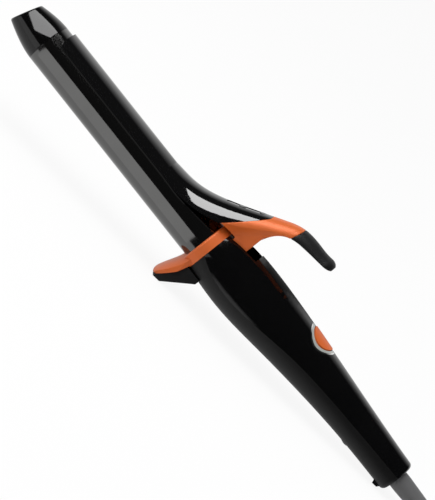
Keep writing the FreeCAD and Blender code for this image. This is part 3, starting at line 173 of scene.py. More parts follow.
def tones(tree, value, dark, light):
    """A colour between two tones, by a pattern."""
    node = tree.nodes.new("ShaderNodeMix")
    node.data_type = "RGBA"
    node.inputs["A"].default_value = (*dark, 1)
    node.inputs["B"].default_value = (*light, 1)
    tree.links.new(value, node.inputs["Factor"])
    return node.outputs["Result"]


def bump(tree, shader, height, strength, distance):
    node = tree.nodes.new("ShaderNodeBump")
    node.inputs["Strength"].default_value = strength
    node.inputs["Distance"].default_value = distance
    tree.links.new(height, node.inputs["Height"])
    tree.links.new(node.outputs["Normal"], shader.inputs["Normal"])


def finish(name, colour, rough, vary=0.0, grain=0.0, scale=900.0, **sockets):
    """A moulded, coated or metal finish: mottled roughness and tone, and a fine grain."""
    made, tree, shader, place = material(name)
    for socket, value in sockets.items():
        shader.inputs[socket.replace("_", " ")].default_value = value
    low = tuple(part * (1 - vary) for part in colour)
    high = tuple(min(1, part * (1 + vary)) for part in colour)
    cloud = noise(tree, place, 45.0, 4.0)
    tree.links.new(tones(tree, spread(tree, cloud, 0, 1), low, high), shader.inputs["Base Color"])
    fine = noise(tree, place, scale, 5.0, 0.6)
    tree.links.new(spread(tree, fine, rough * 0.88, rough * 1.12), shader.inputs["Roughness"])
    if grain:
        bump(tree, shader, fine, grain, 0.0001)
    return made


def make_finishes():
    """Every finish of the iron, by its material slot: colour, roughness, mottle, grain and its scale."""
    tone = bpy.context.scene.iron_colours
    return {
        "barrel_coating": finish("Barrel coating", tone.barrel, 0.08, 0.04, 0.003, Metallic=1.0),
        "clip_enamel": finish("Clip enamel", (0.0025, 0.0025, 0.0027), 0.05, 0.1, 0.0, IOR=1.8),
        "black_gloss": finish("Polished black moulding", tone.upper, 0.07, 0.1, 0.003, IOR=1.46),
        "grey_matt": finish("Matt lower moulding", tone.lower, 0.5, 0.08, 0.14, 2600.0, IOR=1.33),
        "copper_orange": finish("Satin orange lacquer", tone.accent, 0.42, 0.05, 0.03, 3200.0,
                                Metallic=0.12, IOR=1.5),
        "soft_grip": finish("Soft grip rubber", tone.grip, 0.5, 0.12, 0.3, 2200.0, IOR=1.38),
        "ring_glow": finish("Clouded light ring", tone.ring, 0.22, 0.06, 0.02, Coat_Weight=0.4),
        "ring_chrome": finish("Bright ring", (0.74, 0.74, 0.73), 0.12, 0.02, 0.0, Metallic=1.0),
        "socket_phenolic": finish("Heat-proof moulding", (0.1, 0.06, 0.04), 0.55, 0.15, 0.2),
        "spring_steel": finish("Spring steel", (0.5, 0.5, 0.51), 0.32, 0.05, 0.05, Metallic=1.0),
        "screw_steel": finish("Zinc plate", (0.55, 0.55, 0.57), 0.35, 0.08, 0.05, Metallic=1.0),
        "black_steel": finish("Blackened steel", (0.03, 0.03, 0.031), 0.3, 0.1, 0.05, Metallic=0.6),
        "board_green": finish("Solder mask", (0.03, 0.16, 0.07), 0.35, 0.15, 0.1, 400.0),
        "part_dark": finish("Component case", (0.03, 0.03, 0.03), 0.5, 0.1, 0.1),
        "part_blue": finish("Capacitor case", (0.05, 0.16, 0.36), 0.4, 0.08, 0.1),
        "fuse_glass": finish("Fuse glass", (0.85, 0.88, 0.86), 0.05, 0.02, Transmission_Weight=0.8),
        "lamp_red": finish("Red lamp", (0.7, 0.04, 0.03), 0.1, 0.05, Transmission_Weight=0.4),
        "heater_block": finish("Milled aluminium", (0.6, 0.6, 0.6), 0.4, 0.05, 0.08, Metallic=1.0),
        "heater_ceramic": finish("Fired ceramic", (0.8, 0.78, 0.72), 0.7, 0.05, 0.15),
        "wire_silicone": finish("Silicone sleeve", (0.75, 0.72, 0.66), 0.5, 0.05, 0.05),
        "wire_black": finish("Insulated wire", (0.03, 0.03, 0.03), 0.45, 0.1, 0.05),
        "contact_brass": finish("Turned brass", (0.72, 0.56, 0.28), 0.28, 0.06, 0.04, Metallic=1.0),
        "cord_rubber": finish("Cord sheath", (0.02, 0.02, 0.0205), 0.5, 0.12, 0.12, 1500.0),
        "relief_rubber": finish("Strain relief rubber", (0.12, 0.12, 0.122), 0.5, 0.1, 0.15, 1500.0),
        "tie_strap": finish("Hook-and-loop strap", (0.018, 0.018, 0.019), 0.8, 0.2, 0.6, 1800.0),
        "plug_black": finish("Plug moulding", (0.02, 0.02, 0.021), 0.45, 0.1, 0.15, 1500.0),
        "pin_nickel": finish("Nickel plate", (0.72, 0.71, 0.68), 0.18, 0.03, 0.02, Metallic=1.0),
    }


FINISHES = {}
SLOTS = {row["node"]: row["material_slot"] for row in frame["record"]["subparts"]}


def skin(slot):
    """The finish of a material slot; all of them are made at the first call."""
    if not FINISHES:
        FINISHES.update(make_finishes())
    return FINISHES[slot]


def dress(*labels):
    """Gives CAD nodes the finish of their slots."""
    for label in labels:
        made = frame["nodes"][label].data.materials
        made.clear()
        made.append(skin(SLOTS[label]))


# Pieces ---------------------------------------------------------------------------------------


def settle(thing, body, slot, *nodes):
    """Rides a finished piece on its body, in the place of the CAD nodes that it stands for."""
    thing.data.materials.clear()
    thing.data.materials.append(skin(slot))
    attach(thing, body)
    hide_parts(*nodes)
    return thing


def welded(label, name, angle=28.0):
    """A copy of a CAD node with its triangles joined, smooth up to an angle."""
    source = frame["nodes"][label]
    mesh = bpy.data.meshes.new(name)
    shape = bmesh.new()
    shape.from_mesh(source.data)
    shape.transform(source.matrix_world)
    bmesh.ops.remove_doubles(shape, verts=shape.verts, dist=1e-6)
    bmesh.ops.dissolve_degenerate(shape, dist=1e-7, edges=shape.edges)
    for face in shape.faces:
        face.smooth = True
    shape.to_mesh(mesh)
    shape.free()
    mesh.set_sharp_from_angle(angle=math.radians(angle))
    return placed(name, mesh)


# Screws and springs ---------------------------------------------------------------------------


class Tree:
    """A Geometry Nodes tree with named inputs, built step by step."""

    def __init__(self, name, **inputs):
        self.group = bpy.data.node_groups.new(name, "GeometryNodeTree")
        face = self.group.interface
        face.new_socket("Geometry", in_out="OUTPUT", socket_type="NodeSocketGeometry")
        face.new_socket("Geometry", in_out="INPUT", socket_type="NodeSocketGeometry")
        self.sockets = {}
        for label, kind in inputs.items():
            socket = face.new_socket(label.replace("_", " "), in_out="INPUT", socket_type=kind)
            self.sockets[label] = socket.identifier
        self.start = self.group.nodes.new("NodeGroupInput")
        self.end = self.group.nodes.new("NodeGroupOutput")

    def add(self, kind, **settings):
        node = self.group.nodes.new(kind)
        for name, value in settings.items():
            setattr(node, name, value)
        return node

    def wire(self, source, target):
        self.group.links.new(source, target)

    def given(self, label):
        return self.start.outputs[label.replace("_", " ")]

    def maths(self, operation, first, second):
        node = self.add("ShaderNodeMath", operation=operation)
        for socket, value in zip(node.inputs, (first, second)):
            if isinstance(value, (int, float)):
                socket.default_value = value
            else:
                self.wire(value, socket)
        return node.outputs[0]

    def close(self, geometry):
        """Ends the tree in real geometry with its finish."""
        real = self.add("GeometryNodeRealizeInstances")
        skin = self.add("GeometryNodeSetMaterial")
        self.wire(geometry, real.inputs[0])
        self.wire(real.outputs[0], skin.inputs["Geometry"])
        self.wire(self.given("Finish"), skin.inputs["Material"])
        self.wire(skin.outputs[0], self.end.inputs[0])


def grow(name, tree, base, place, **values):
    """Evaluates a tree on a base mesh and keeps the result as a plain mesh in its place."""
    seed = placed(name + "_seed", base)
    modifier = seed.modifiers.new("build", "NODES")
    modifier.node_group = tree.group
    for label, value in values.items():
        modifier[tree.sockets[label]] = value
    grown = seed.evaluated_get(bpy.context.evaluated_depsgraph_get())
    mesh = bpy.data.meshes.new_from_object(grown)
    seed.modifiers.clear()
    bpy.data.objects.remove(seed)
    mesh.name = name
    mesh.transform(place)
    if not mesh.polygons:
        raise RuntimeError(f"{name} has no faces")
    return placed(name, mesh)


def screw_tree():
    """Screws on points: a flat round head with a crossed recess, and a threaded shank under it."""
    tree = Tree("Screws", Shank_Radius="NodeSocketFloat", Length="NodeSocketFloat",
                Head_Radius="NodeSocketFloat", Head_Height="NodeSocketFloat", Finish="NodeSocketMaterial")
    shank_radius, length = tree.given("Shank_Radius"), tree.given("Length")
    head_radius, head_height = tree.given("Head_Radius"), tree.given("Head_Height")
    pitch = tree.maths("MULTIPLY", shank_radius, 0.5)
    core_radius = tree.maths("MULTIPLY", shank_radius, 0.86)
    threaded = tree.maths("MULTIPLY", length, 0.86)
    shank = tree.add("GeometryNodeMeshCylinder")
    shank.inputs["Vertices"].default_value = 24
    tree.wire(core_radius, shank.inputs["Radius"])
    tree.wire(length, shank.inputs["Depth"])
    lower = tree.add("GeometryNodeTransform")
    tree.wire(shank.outputs["Mesh"], lower.inputs["Geometry"])
    drop = tree.add("ShaderNodeCombineXYZ")
    tree.wire(tree.maths("MULTIPLY", length, -0.5), drop.inputs["Z"])
    tree.wire(drop.outputs[0], lower.inputs["Translation"])
    helix = tree.add("GeometryNodeCurveSpiral")
    helix.inputs["Resolution"].default_value = 20
    tree.wire(tree.maths("DIVIDE", threaded, pitch), helix.inputs["Rotations"])
    tree.wire(core_radius, helix.inputs["Start Radius"])
    tree.wire(core_radius, helix.inputs["End Radius"])
    tree.wire(threaded, helix.inputs["Height"])
    ridge = tree.add("GeometryNodeCurvePrimitiveCircle")
    ridge.inputs["Resolution"].default_value = 6
    tree.wire(tree.maths("MULTIPLY", shank_radius, 0.14), ridge.inputs["Radius"])
    thread = tree.add("GeometryNodeCurveToMesh")
    thread.inputs["Fill Caps"].default_value = True
    tree.wire(helix.outputs["Curve"], thread.inputs["Curve"])
    tree.wire(ridge.outputs["Curve"], thread.inputs["Profile Curve"])
    hang = tree.add("GeometryNodeTransform")
    tree.wire(thread.outputs["Mesh"], hang.inputs["Geometry"])
    low = tree.add("ShaderNodeCombineXYZ")
    tree.wire(tree.maths("MULTIPLY", length, -0.93), low.inputs["Z"])
    tree.wire(low.outputs[0], hang.inputs["Translation"])
    head = tree.add("GeometryNodeMeshCylinder")
    head.inputs["Vertices"].default_value = 32
    tree.wire(head_radius, head.inputs["Radius"])
    tree.wire(head_height, head.inputs["Depth"])
    lift = tree.add("GeometryNodeTransform")
    tree.wire(head.outputs["Mesh"], lift.inputs["Geometry"])
    rise = tree.add("ShaderNodeCombineXYZ")
    tree.wire(tree.maths("MULTIPLY", head_height, 0.5), rise.inputs["Z"])
    tree.wire(rise.outputs[0], lift.inputs["Translation"])
    recess = tree.add("GeometryNodeJoinGeometry")
    for long_way, short_way in ("XY", "YX"):
        bar = tree.add("GeometryNodeMeshCube")
        size = tree.add("ShaderNodeCombineXYZ")
        tree.wire(tree.maths("MULTIPLY", head_radius, 1.2), size.inputs[long_way])
        tree.wire(tree.maths("MULTIPLY", head_radius, 0.24), size.inputs[short_way])
        tree.wire(head_height, size.inputs["Z"])
        tree.wire(size.outputs[0], bar.inputs["Size"])
        raised = tree.add("GeometryNodeTransform")
        tree.wire(bar.outputs["Mesh"], raised.inputs["Geometry"])
        high = tree.add("ShaderNodeCombineXYZ")
        tree.wire(head_height, high.inputs["Z"])
        tree.wire(high.outputs[0], raised.inputs["Translation"])
        tree.wire(raised.outputs[0], recess.inputs[0])
    sunk = tree.add("GeometryNodeMeshBoolean", operation="DIFFERENCE", solver="EXACT")
    sunk.inputs["Self Intersection"].default_value = True
    tree.wire(lift.outputs[0], sunk.inputs["Mesh 1"])
    tree.wire(recess.outputs[0], sunk.inputs["Mesh 2"])
    whole = tree.add("GeometryNodeJoinGeometry")
    for part in (sunk.outputs["Mesh"], lower.outputs[0], hang.outputs[0]):
        tree.wire(part, whole.inputs[0])
    spots = tree.add("GeometryNodeInstanceOnPoints")
    points = tree.add("GeometryNodeMeshToPoints")
    tree.wire(tree.start.outputs["Geometry"], points.inputs["Mesh"])
    tree.wire(points.outputs[0], spots.inputs["Points"])
    tree.wire(whole.outputs[0], spots.inputs["Instance"])
    tree.close(spots.outputs["Instances"])
    return tree


def spring_tree():
    """A coil spring on each point, wound upward."""
    tree = Tree("Springs", Coil_Radius="NodeSocketFloat", Wire_Radius="NodeSocketFloat",
                Height="NodeSocketFloat", Turns="NodeSocketFloat", Finish="NodeSocketMaterial")
    helix = tree.add("GeometryNodeCurveSpiral")
    helix.inputs["Resolution"].default_value = 24
    for socket, label in (("Rotations", "Turns"), ("Start Radius", "Coil_Radius"),
                          ("End Radius", "Coil_Radius"), ("Height", "Height")):
        tree.wire(tree.given(label), helix.inputs[socket])
    ring = tree.add("GeometryNodeCurvePrimitiveCircle")
    ring.inputs["Resolution"].default_value = 10
    tree.wire(tree.given("Wire_Radius"), ring.inputs["Radius"])
    coil = tree.add("GeometryNodeCurveToMesh")
    coil.inputs["Fill Caps"].default_value = True
    tree.wire(helix.outputs["Curve"], coil.inputs["Curve"])
    tree.wire(ring.outputs["Curve"], coil.inputs["Profile Curve"])
    points = tree.add("GeometryNodeMeshToPoints")
    tree.wire(tree.start.outputs["Geometry"], points.inputs["Mesh"])
    placed = tree.add("GeometryNodeInstanceOnPoints")
    tree.wire(points.outputs[0], placed.inputs["Points"])
    tree.wire(coil.outputs["Mesh"], placed.inputs["Instance"])
    tree.close(placed.outputs["Instances"])
    return tree


def spots(label, upward):
    """The screws of a node, in the barrel's directions and in metres.

    Each row is the middle of a head's underside, the screw's lowest and highest point, and the head's radius
    and height.
    """
    shape = bmesh.new()
    shape.from_mesh(frame["nodes"][label].data)
    shape.transform(TURN.to_4x4() @ frame["nodes"][label].matrix_world)
    bmesh.ops.remove_doubles(shape, verts=shape.verts, dist=1e-6)
    left = set(shape.verts)
    found = []
    while left:
        group, wave = set(), [left.pop()]
        while wave:
            vertex = wave.pop()
            group.add(vertex)
            for edge in vertex.link_edges:
                other = edge.other_vert(vertex)
                if other in left:
                    left.remove(other)
                    wave.append(other)
        places = [vertex.co for vertex in group]
        low, high = corners(places)
        reach = (high - low).x / 2
        middle = (low + high) / 2
        rim = [co.z for co in places if abs(math.hypot(co.x - middle.x, co.y - middle.y) - reach) < 1e-5]
        found.append((middle.x, middle.y, max(rim) if upward else min(rim), low.z, high.z, reach,
                      max(rim) - min(rim)))
    shape.free()
    return sorted(found)


class CURLER_OT_screws(bpy.types.Operator):
    """Screws of the shells, the board and the hinge bracket"""
    bl_idname = "curler.screws"
    bl_label = "Screws"

    def execute(self, context):
        dress("shell_screws", "board_screws", "bracket_screws")
        tree = screw_tree()
        flip = Matrix.Rotation(math.pi, 4, "X")
        for label, shank, upward in (("shell_screws", 0.00145, True), ("board_screws", 0.001, False),
                                     ("bracket_screws", 0.001, False)):
            rows = spots(label, upward)
            low, high = rows[0][3], rows[0][4]
            seat, reach, height = rows[0][2], rows[0][5], rows[0][6]
            length = high - seat if upward else seat - low
            base = bpy.data.meshes.new(label + "_points")
            places = [Vector((x, y, z)) for x, y, z, *rest in rows]
            base.from_pydata([flip @ place if upward else place for place in places], [], [])
            thing = grow(label + "_turned", tree, base, TURN_BACK @ flip if upward else TURN_BACK,
                         Shank_Radius=shank, Length=length, Head_Radius=reach, Head_Height=height,
                         Finish=skin("screw_steel"))
            settle(thing, "handle", "screw_steel", label)
        return {"FINISHED"}


# The iron's pieces ----------------------------------------------------------------------------


class CURLER_OT_barrel(bpy.types.Operator):
    """Heated barrel and its tip cap"""
    bl_idname = "curler.barrel"
    bl_label = "Barrel and cap"

    def execute(self, context):
        dress("barrel_tube", "tip_cap")
        settle(welded("tip_cap", "tip_cap_smooth"), "handle", "black_gloss", "tip_cap")
        return {"FINISHED"}


class CURLER_OT_handle(bpy.types.Operator):
    """Upper shell, and lower shell with its fin"""
    bl_idname = "curler.handle"
    bl_label = "Handle shells"

    def execute(self, context):
        dress("upper_shell", "lower_shell")
        return {"FINISHED"}


class CURLER_OT_guard(bpy.types.Operator):
    """Guard ring with its tongue"""
    bl_idname = "curler.guard"
    bl_label = "Guard"

    def execute(self, context):
        dress("guard_collar")
        return {"FINISHED"}


class CURLER_OT_clip(bpy.types.Operator):
    """Clip plate and its rivets"""
    bl_idname = "curler.clip"
    bl_label = "Clip"

    def execute(self, context):
        dress("clip_plate", "clip_rivets")
        return {"FINISHED"}


# The swell that the clip and the lever share, in the barrel's frame and in millimetres: the place along it,
# the height of its middle, its half height and its half width.
SWELL = [(112, 3.5, 14.1, 14.1), (122, 8.6, 13.6, 13.6), (132, 15.4, 12.7, 12.7), (142, 23.9, 10.7, 11.0),
         (152, 32.9, 8.3, 9.0), (162, 40.2, 6.3, 7.7), (172, 42.1, 5.7, 7.2), (182, 42.3, 5.7, 7.2),
         (192, 42.3, 5.6, 7.2)]


# The crease lies this far above the widest line.
CREASE_RISE = 1.0


def swell(x):
    """The swell's middle height, half height and half width at a place along the barrel, in millimetres."""
    for left, right in zip(SWELL, SWELL[1:]):
        if x <= right[0]:
            break
    share = min(1, max(0, (x - left[0]) / (right[0] - left[0])))
    return [a + (b - a) * share for a, b in zip(left[1:], right[1:])]


def moved(y, z):
    """A move across and up, given in the barrel's frame and in millimetres."""
    return (ACROSS * y + UP * z) / MM


def softened(label, name, grain, rounds):
    """A copy of a CAD node in an even mesh with its edges rounded."""
    thing = welded(label, name)
    remesh = thing.modifiers.new("even", "REMESH")
    remesh.mode = "VOXEL"
    remesh.voxel_size = grain
    soft = thing.modifiers.new("soft", "SMOOTH")
    soft.factor = 0.5
    soft.iterations = rounds
    mesh = bpy.data.meshes.new_from_object(thing.evaluated_get(bpy.context.evaluated_depsgraph_get()))
    thing.modifiers.clear()
    old = thing.data
    thing.data = mesh
    bpy.data.meshes.remove(old)
    mesh.name = name
    if not mesh.polygons:
        raise RuntimeError(f"{name} has no faces")
    return thing


def hollow_cheeks(thing, half_width, depth):
    """Draws the lever's sides in below the swell's widest line, which leaves a crease along it."""
    for vertex in thing.data.vertices:
        x, y, z = in_barrel(vertex.co)
        middle, half, wide = swell(x)
        middle += CREASE_RISE
        if wide <= half_width or abs(y) <= half_width or z >= middle:
            continue
        low = middle - half * math.sqrt(1 - (half_width / wide) ** 2)
        share = min(1, max(0, (z - low) / (middle - low)))
        edge = wide * math.sqrt(max(0, 1 - ((middle - z) / half) ** 2))
        drawn = (wide - half_width) * share ** depth / max(0.05, edge - half_width)
        reach = half_width + (abs(y) - half_width) * min(1, drawn)
        vertex.co += moved(math.copysign(reach, y) - y, 0)


def round_end(thing, start, end, height):
    """Narrows a piece towards its end along the barrel, like the end of an oval."""
    for vertex in thing.data.vertices:
        x, y, z = in_barrel(vertex.co)
        if x > start:
            keep = math.sqrt(1 - ((x - start) / (end - start)) ** 2)
            vertex.co += moved(y * (keep - 1), (z - height) * (keep - 1))


class CURLER_OT_lever(bpy.types.Operator):
    """Thumb lever with hollow cheeks, and its soft grip"""
    bl_idname = "curler.lever"
    bl_label = "Lever and grip"

    def execute(self, context):
        dress("thumb_lever", "thumb_grip")
        lever = softened("thumb_lever", "lever_hollowed", grain=0.00035, rounds=3)
        hollow_cheeks(lever, half_width=7.9, depth=1.6)
        settle(lever, "clip", "copper_orange", "thumb_lever")
        grip = softened("thumb_grip", "grip_rounded", grain=0.0003, rounds=9)
        round_end(grip, start=183.0, end=188.7, height=45.2)
        settle(grip, "clip", "soft_grip", "thumb_grip")
        return {"FINISHED"}


class CURLER_OT_hinge(bpy.types.Operator):
    """Hinge bracket, pivot pin, retaining ring and return spring"""
    bl_idname = "curler.hinge"
    bl_label = "Hinge"

    def execute(self, context):
        dress("hinge_bracket", "pivot_pin", "pin_retainer", "return_spring")
        return {"FINISHED"}


class CURLER_OT_button(bpy.types.Operator):
    """Power button with its rings, plunger and spring"""
    bl_idname = "curler.button"
    bl_label = "Power button"

    def execute(self, context):
        dress("power_button", "light_ring", "button_bezel", "switch_plunger", "button_spring")
        low, high = corners([TURN @ vertex.co for vertex in frame["nodes"]["button_spring"].data.vertices])
        wire = 0.0003
        foot = Vector(((low.x + high.x) / 2, 0, low.z + wire))
        height = high.z - low.z - wire * 2
        base = bpy.data.meshes.new("button_spring_point")
        base.from_pydata([foot], [], [])
        spring = grow("button_spring_coiled", spring_tree(), base, TURN_BACK,
                      Coil_Radius=(high.y - low.y) / 2 - wire, Wire_Radius=wire, Height=height, Turns=4.0,
                      Finish=skin("spring_steel"))
        settle(spring, "handle", "spring_steel", "button_spring")
        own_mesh(spring)
        return {"FINISHED"}


class CURLER_OT_heater(bpy.types.Operator):
    """Socket, heater blocks and chips, cut-out and leads"""
    bl_idname = "curler.heater"
    bl_label = "Heater"

    def execute(self, context):
        dress("barrel_socket", "heater_core_upper", "heater_core_lower", "heater_chips", "thermal_cutout",
              "heater_leads")
        return {"FINISHED"}


class CURLER_OT_circuit(bpy.types.Operator):
    """Circuit board with its parts and the mains leads"""
    bl_idname = "curler.circuit"
    bl_label = "Circuit"

    def execute(self, context):
        dress("circuit_board", "power_switch", "triac", "capacitor", "line_fuse", "indicator_led",
              "terminal_block", "mains_leads")
        return {"FINISHED"}


class CURLER_OT_swivel(bpy.types.Operator):
    """Swivel gland, slip rings, brushes and strain relief"""
    bl_idname = "curler.swivel"
    bl_label = "Swivel"

    def execute(self, context):
        dress("swivel_gland", "slip_rings", "brush_contacts", "brush_holders", "strain_relief")
        return {"FINISHED"}


# The route from the strain relief to the hank and from its last fold to the plug, from the hank's middle.
CORD_TO_HANK = [(-0.0779, 0, 0.0035), (-0.0633, -0.0069, 0.0035), (-0.053, -0.0194, 0.0037),
                (-0.0384, -0.0263, 0.0041), (-0.022, -0.0263, 0.0042)]
CORD_TO_PLUG = [(-0.0261, 0.0198, 0.0174), (-0.0339, 0.0198, 0.0179), (-0.0412, 0.0168, 0.0193),
                (-0.0468, 0.0112, 0.0211), (-0.0498, 0.0039, 0.0228), (-0.0498, -0.0039, 0.0236),
                (-0.0468, -0.0112, 0.0239), (-0.0412, -0.0168, 0.0241), (-0.0339, -0.0198, 0.0243),
                (-0.0261, -0.0198, 0.0245), (-0.0106, -0.0198, 0.0256), (0.0033, -0.013, 0.0269),
                (0.0123, -0.013, 0.0276)]
CORD_EXIT = Vector((0.200856, 0, 0.00598))
HANK_MIDDLE = Vector((0.307856, 0, 0))
STRAIGHT_OUT = 0.013
FOLD_STEPS = 8


def hank_turns(size):
    """The stored turns, two wide and three high, as half turns of a run and a fold each."""
    inner, outer = size.fold, size.fold + size.pitch
    low, mid, top = (size.base + size.diameter / 2 + size.pitch * layer for layer in range(3))
    step = math.pi / FOLD_STEPS
    turns = [(outer, inner, low, low), (inner, inner, low, mid), (inner, outer, mid, mid),
             (outer, outer, mid, top), (outer, inner, top, top), (inner, inner, top, top)]
    route = []
    for radius, next_radius, height, next_height in turns:
        for side, end_radius, end_height in ((1, radius, height), (-1, next_radius, next_height)):
            reach = size.run / 2 - radius * math.tan(step / 2)
            route += [(-side * reach, -side * radius, height), (side * reach, -side * radius, height)]
            for count in range(FOLD_STEPS):
                share = (count + 0.5) / FOLD_STEPS
                angle = share * math.pi - math.pi / 2
                bend = (radius + (end_radius - radius) * share) / math.cos(step / 2)
                route.append((side * (size.run / 2 + bend * math.cos(angle)), side * bend * math.sin(angle),
                              height + (end_height - height) * share))
    # The first point lies on the cord's own way in, and the last fold is the way out.
    return route[1:-FOLD_STEPS - 1]


class CURLER_OT_cord(bpy.types.Operator):
    """Mains cord with its stored hank and its plug"""
    bl_idname = "curler.cord"
    bl_label = "Cord and plug"

    def execute(self, context):
        size = context.scene.cord_sizes
        dress("cord_run", "cord_hank", "cord_tail", "cord_tie", "plug_body", "plug_pins")
        route = [CORD_EXIT, CORD_EXIT + ALONG * STRAIGHT_OUT]
        route += [HANK_MIDDLE + Vector(place) for place in [*CORD_TO_HANK, *hank_turns(size), *CORD_TO_PLUG]]
        curve = bpy.data.curves.new("mains_cord", "CURVE")
        curve.dimensions = "3D"
        spline = curve.splines.new("NURBS")
        spline.points.add(len(route) - 1)
        for point, place in zip(spline.points, route):
            point.co = (*place, 1)
        spline.order_u = 3
        spline.use_endpoint_u = True
        spline.resolution_u = 6
        curve.bevel_depth = size.diameter / 2
        curve.bevel_resolution = 4
        curve.use_fill_caps = True
        cord = placed("mains_cord", curve)
        settle(cord, "handle", "cord_rubber", "cord_run", "cord_hank", "cord_tail")
        line = curve.copy()
        line.bevel_depth = 0
        probe = bpy.data.objects.new("cord_line", line)
        mesh = bpy.data.meshes.new_from_object(probe)
        bpy.data.objects.remove(probe)
        bpy.data.meshes.remove(mesh)
        plug = settle(welded("plug_body", "mains_plug"), "handle", "plug_black", "plug_body")
        pins = settle(welded("plug_pins", "mains_plug_pins"), "handle", "pin_nickel", "plug_pins")
        tie = settle(welded("cord_tie", "hank_strap"), "handle", "tie_strap", "cord_tie")
        return {"FINISHED"}


# Stage ----------------------------------------------------------------------------------------

# From the iron to the camera, and square to it and to the barrel.
VIEW = Vector((0.037289, -0.961262, 0.273104)).normalized()
SIDE_UP = ALONG.cross(VIEW) * -1
TARGET = Vector((0.01311, 0.0006, 0.0317))
CAMERA_DISTANCE = 1.478
CAMERA_ROLL = math.radians(51.63)
KEY_PLACE = Vector((-0.35, -0.25, 1.1))
FLOOR_HALF = 2.5
FLOOR_LEVEL = -0.0002
# How much of the camera's light from the floor is even white.
FLOOR_GLOW = 0.9
# What gloss mirrors: turns in degrees up from the viewing side, between which the pale walls fade.
BELOW_FADE = (-66, -58)
ABOVE_FADE = (81, 116)
ABOVE_LEAN = 56
BELOW_LEVEL, ABOVE_LEVEL, LEAST_LEVEL = 0.9, 1.25, 0.03
# The dark gap in the upper wall: its middle along the barrel's direction, and where its edge fades.
GAP_MIDDLE = 0.025
GAP_FADE = (0.03, 0.075)
GAP_LEVEL = 0.1


def direction(turn):
    """A direction square to the barrel, turned up from the viewing side."""
    angle = math.radians(turn)
    return VIEW * math.cos(angle) + SIDE_UP * math.sin(angle)


def glow(name, strength, corners):
    """A bright panel that only gloss shows."""
    mesh = bpy.data.meshes.new(name)
    mesh.from_pydata(corners, [], [list(range(len(corners)))])
    made = bpy.data.materials.new(name)
    made.use_nodes = True
    tree = made.node_tree
    tree.nodes.clear()
    light = tree.nodes.new("ShaderNodeEmission")
    light.inputs["Strength"].default_value = strength
    end = tree.nodes.new("ShaderNodeOutputMaterial")
    tree.links.new(light.outputs[0], end.inputs["Surface"])
    mesh.materials.append(made)
    thing = placed(name, mesh)
    thing.visible_camera = False
    thing.visible_diffuse = False
    thing.visible_shadow = False
    thing.visible_transmission = False


def panel(name, strength, facing, reach, *outline):
    """A flat glow at a reach from the barrel's axis, by its corners' places along the barrel and turns."""
    glow(name, strength, [stood(x, 0, 0) + direction(turn) * (reach / math.cos(math.radians(turn - facing)))
                          for x, turn in outline])


def surround(world, strength):
    """Studio walls: pale below and behind the iron, dark on the viewing side, white to the camera."""
    world.use_nodes = True
    tree = world.node_tree
    tree.nodes.clear()

    def maths(operation, *values):
        node = tree.nodes.new("ShaderNodeMath")
        node.operation = operation
        for socket, value in zip(node.inputs, values):
            if isinstance(value, (int, float)):
                socket.default_value = value
            else:
                tree.links.new(value, socket)
        return node.outputs[0]

    ray = tree.nodes.new("ShaderNodeTexCoord").outputs["Generated"]

    def along(axis):
        node = tree.nodes.new("ShaderNodeVectorMath")
        node.operation = "DOT_PRODUCT"
        node.inputs[1].default_value = axis
        tree.links.new(ray, node.inputs[0])
        return node.outputs["Value"]

    turn = maths("MULTIPLY", maths("ARCTAN2", along(SIDE_UP), along(VIEW)), 180 / math.pi)
    below = spread(tree, turn, BELOW_LEVEL, 0, *BELOW_FADE)
    sideways = along(ALONG)
    lean_in = maths("MULTIPLY", maths("ABSOLUTE", sideways), ABOVE_LEAN)
    from_gap = maths("ABSOLUTE", maths("SUBTRACT", sideways, GAP_MIDDLE))
    between = spread(tree, from_gap, GAP_LEVEL, 1, *GAP_FADE)
    above = maths("MULTIPLY", spread(tree, maths("SUBTRACT", turn, lean_in), 0, ABOVE_LEVEL, *ABOVE_FADE),
                  between)
    mirrored = maths("ADD", maths("ADD", below, above), LEAST_LEVEL)
    path = tree.nodes.new("ShaderNodeLightPath")
    even = maths("MULTIPLY", maths("ADD", along((0, 0, 1)), 2.0), strength * 0.5)
    plain = maths("ADD", maths("MULTIPLY", path.outputs["Is Glossy Ray"], maths("SUBTRACT", mirrored, even)),
                  even)
    seen = maths("MAXIMUM", path.outputs["Is Camera Ray"], path.outputs["Is Transmission Ray"])
    level = maths("ADD", maths("MULTIPLY", seen, maths("SUBTRACT", 1.0, plain)), plain)
    light = tree.nodes.new("ShaderNodeBackground")
    tree.links.new(level, light.inputs["Strength"])
    end = tree.nodes.new("ShaderNodeOutputWorld")
    tree.links.new(light.outputs[0], end.inputs["Surface"])


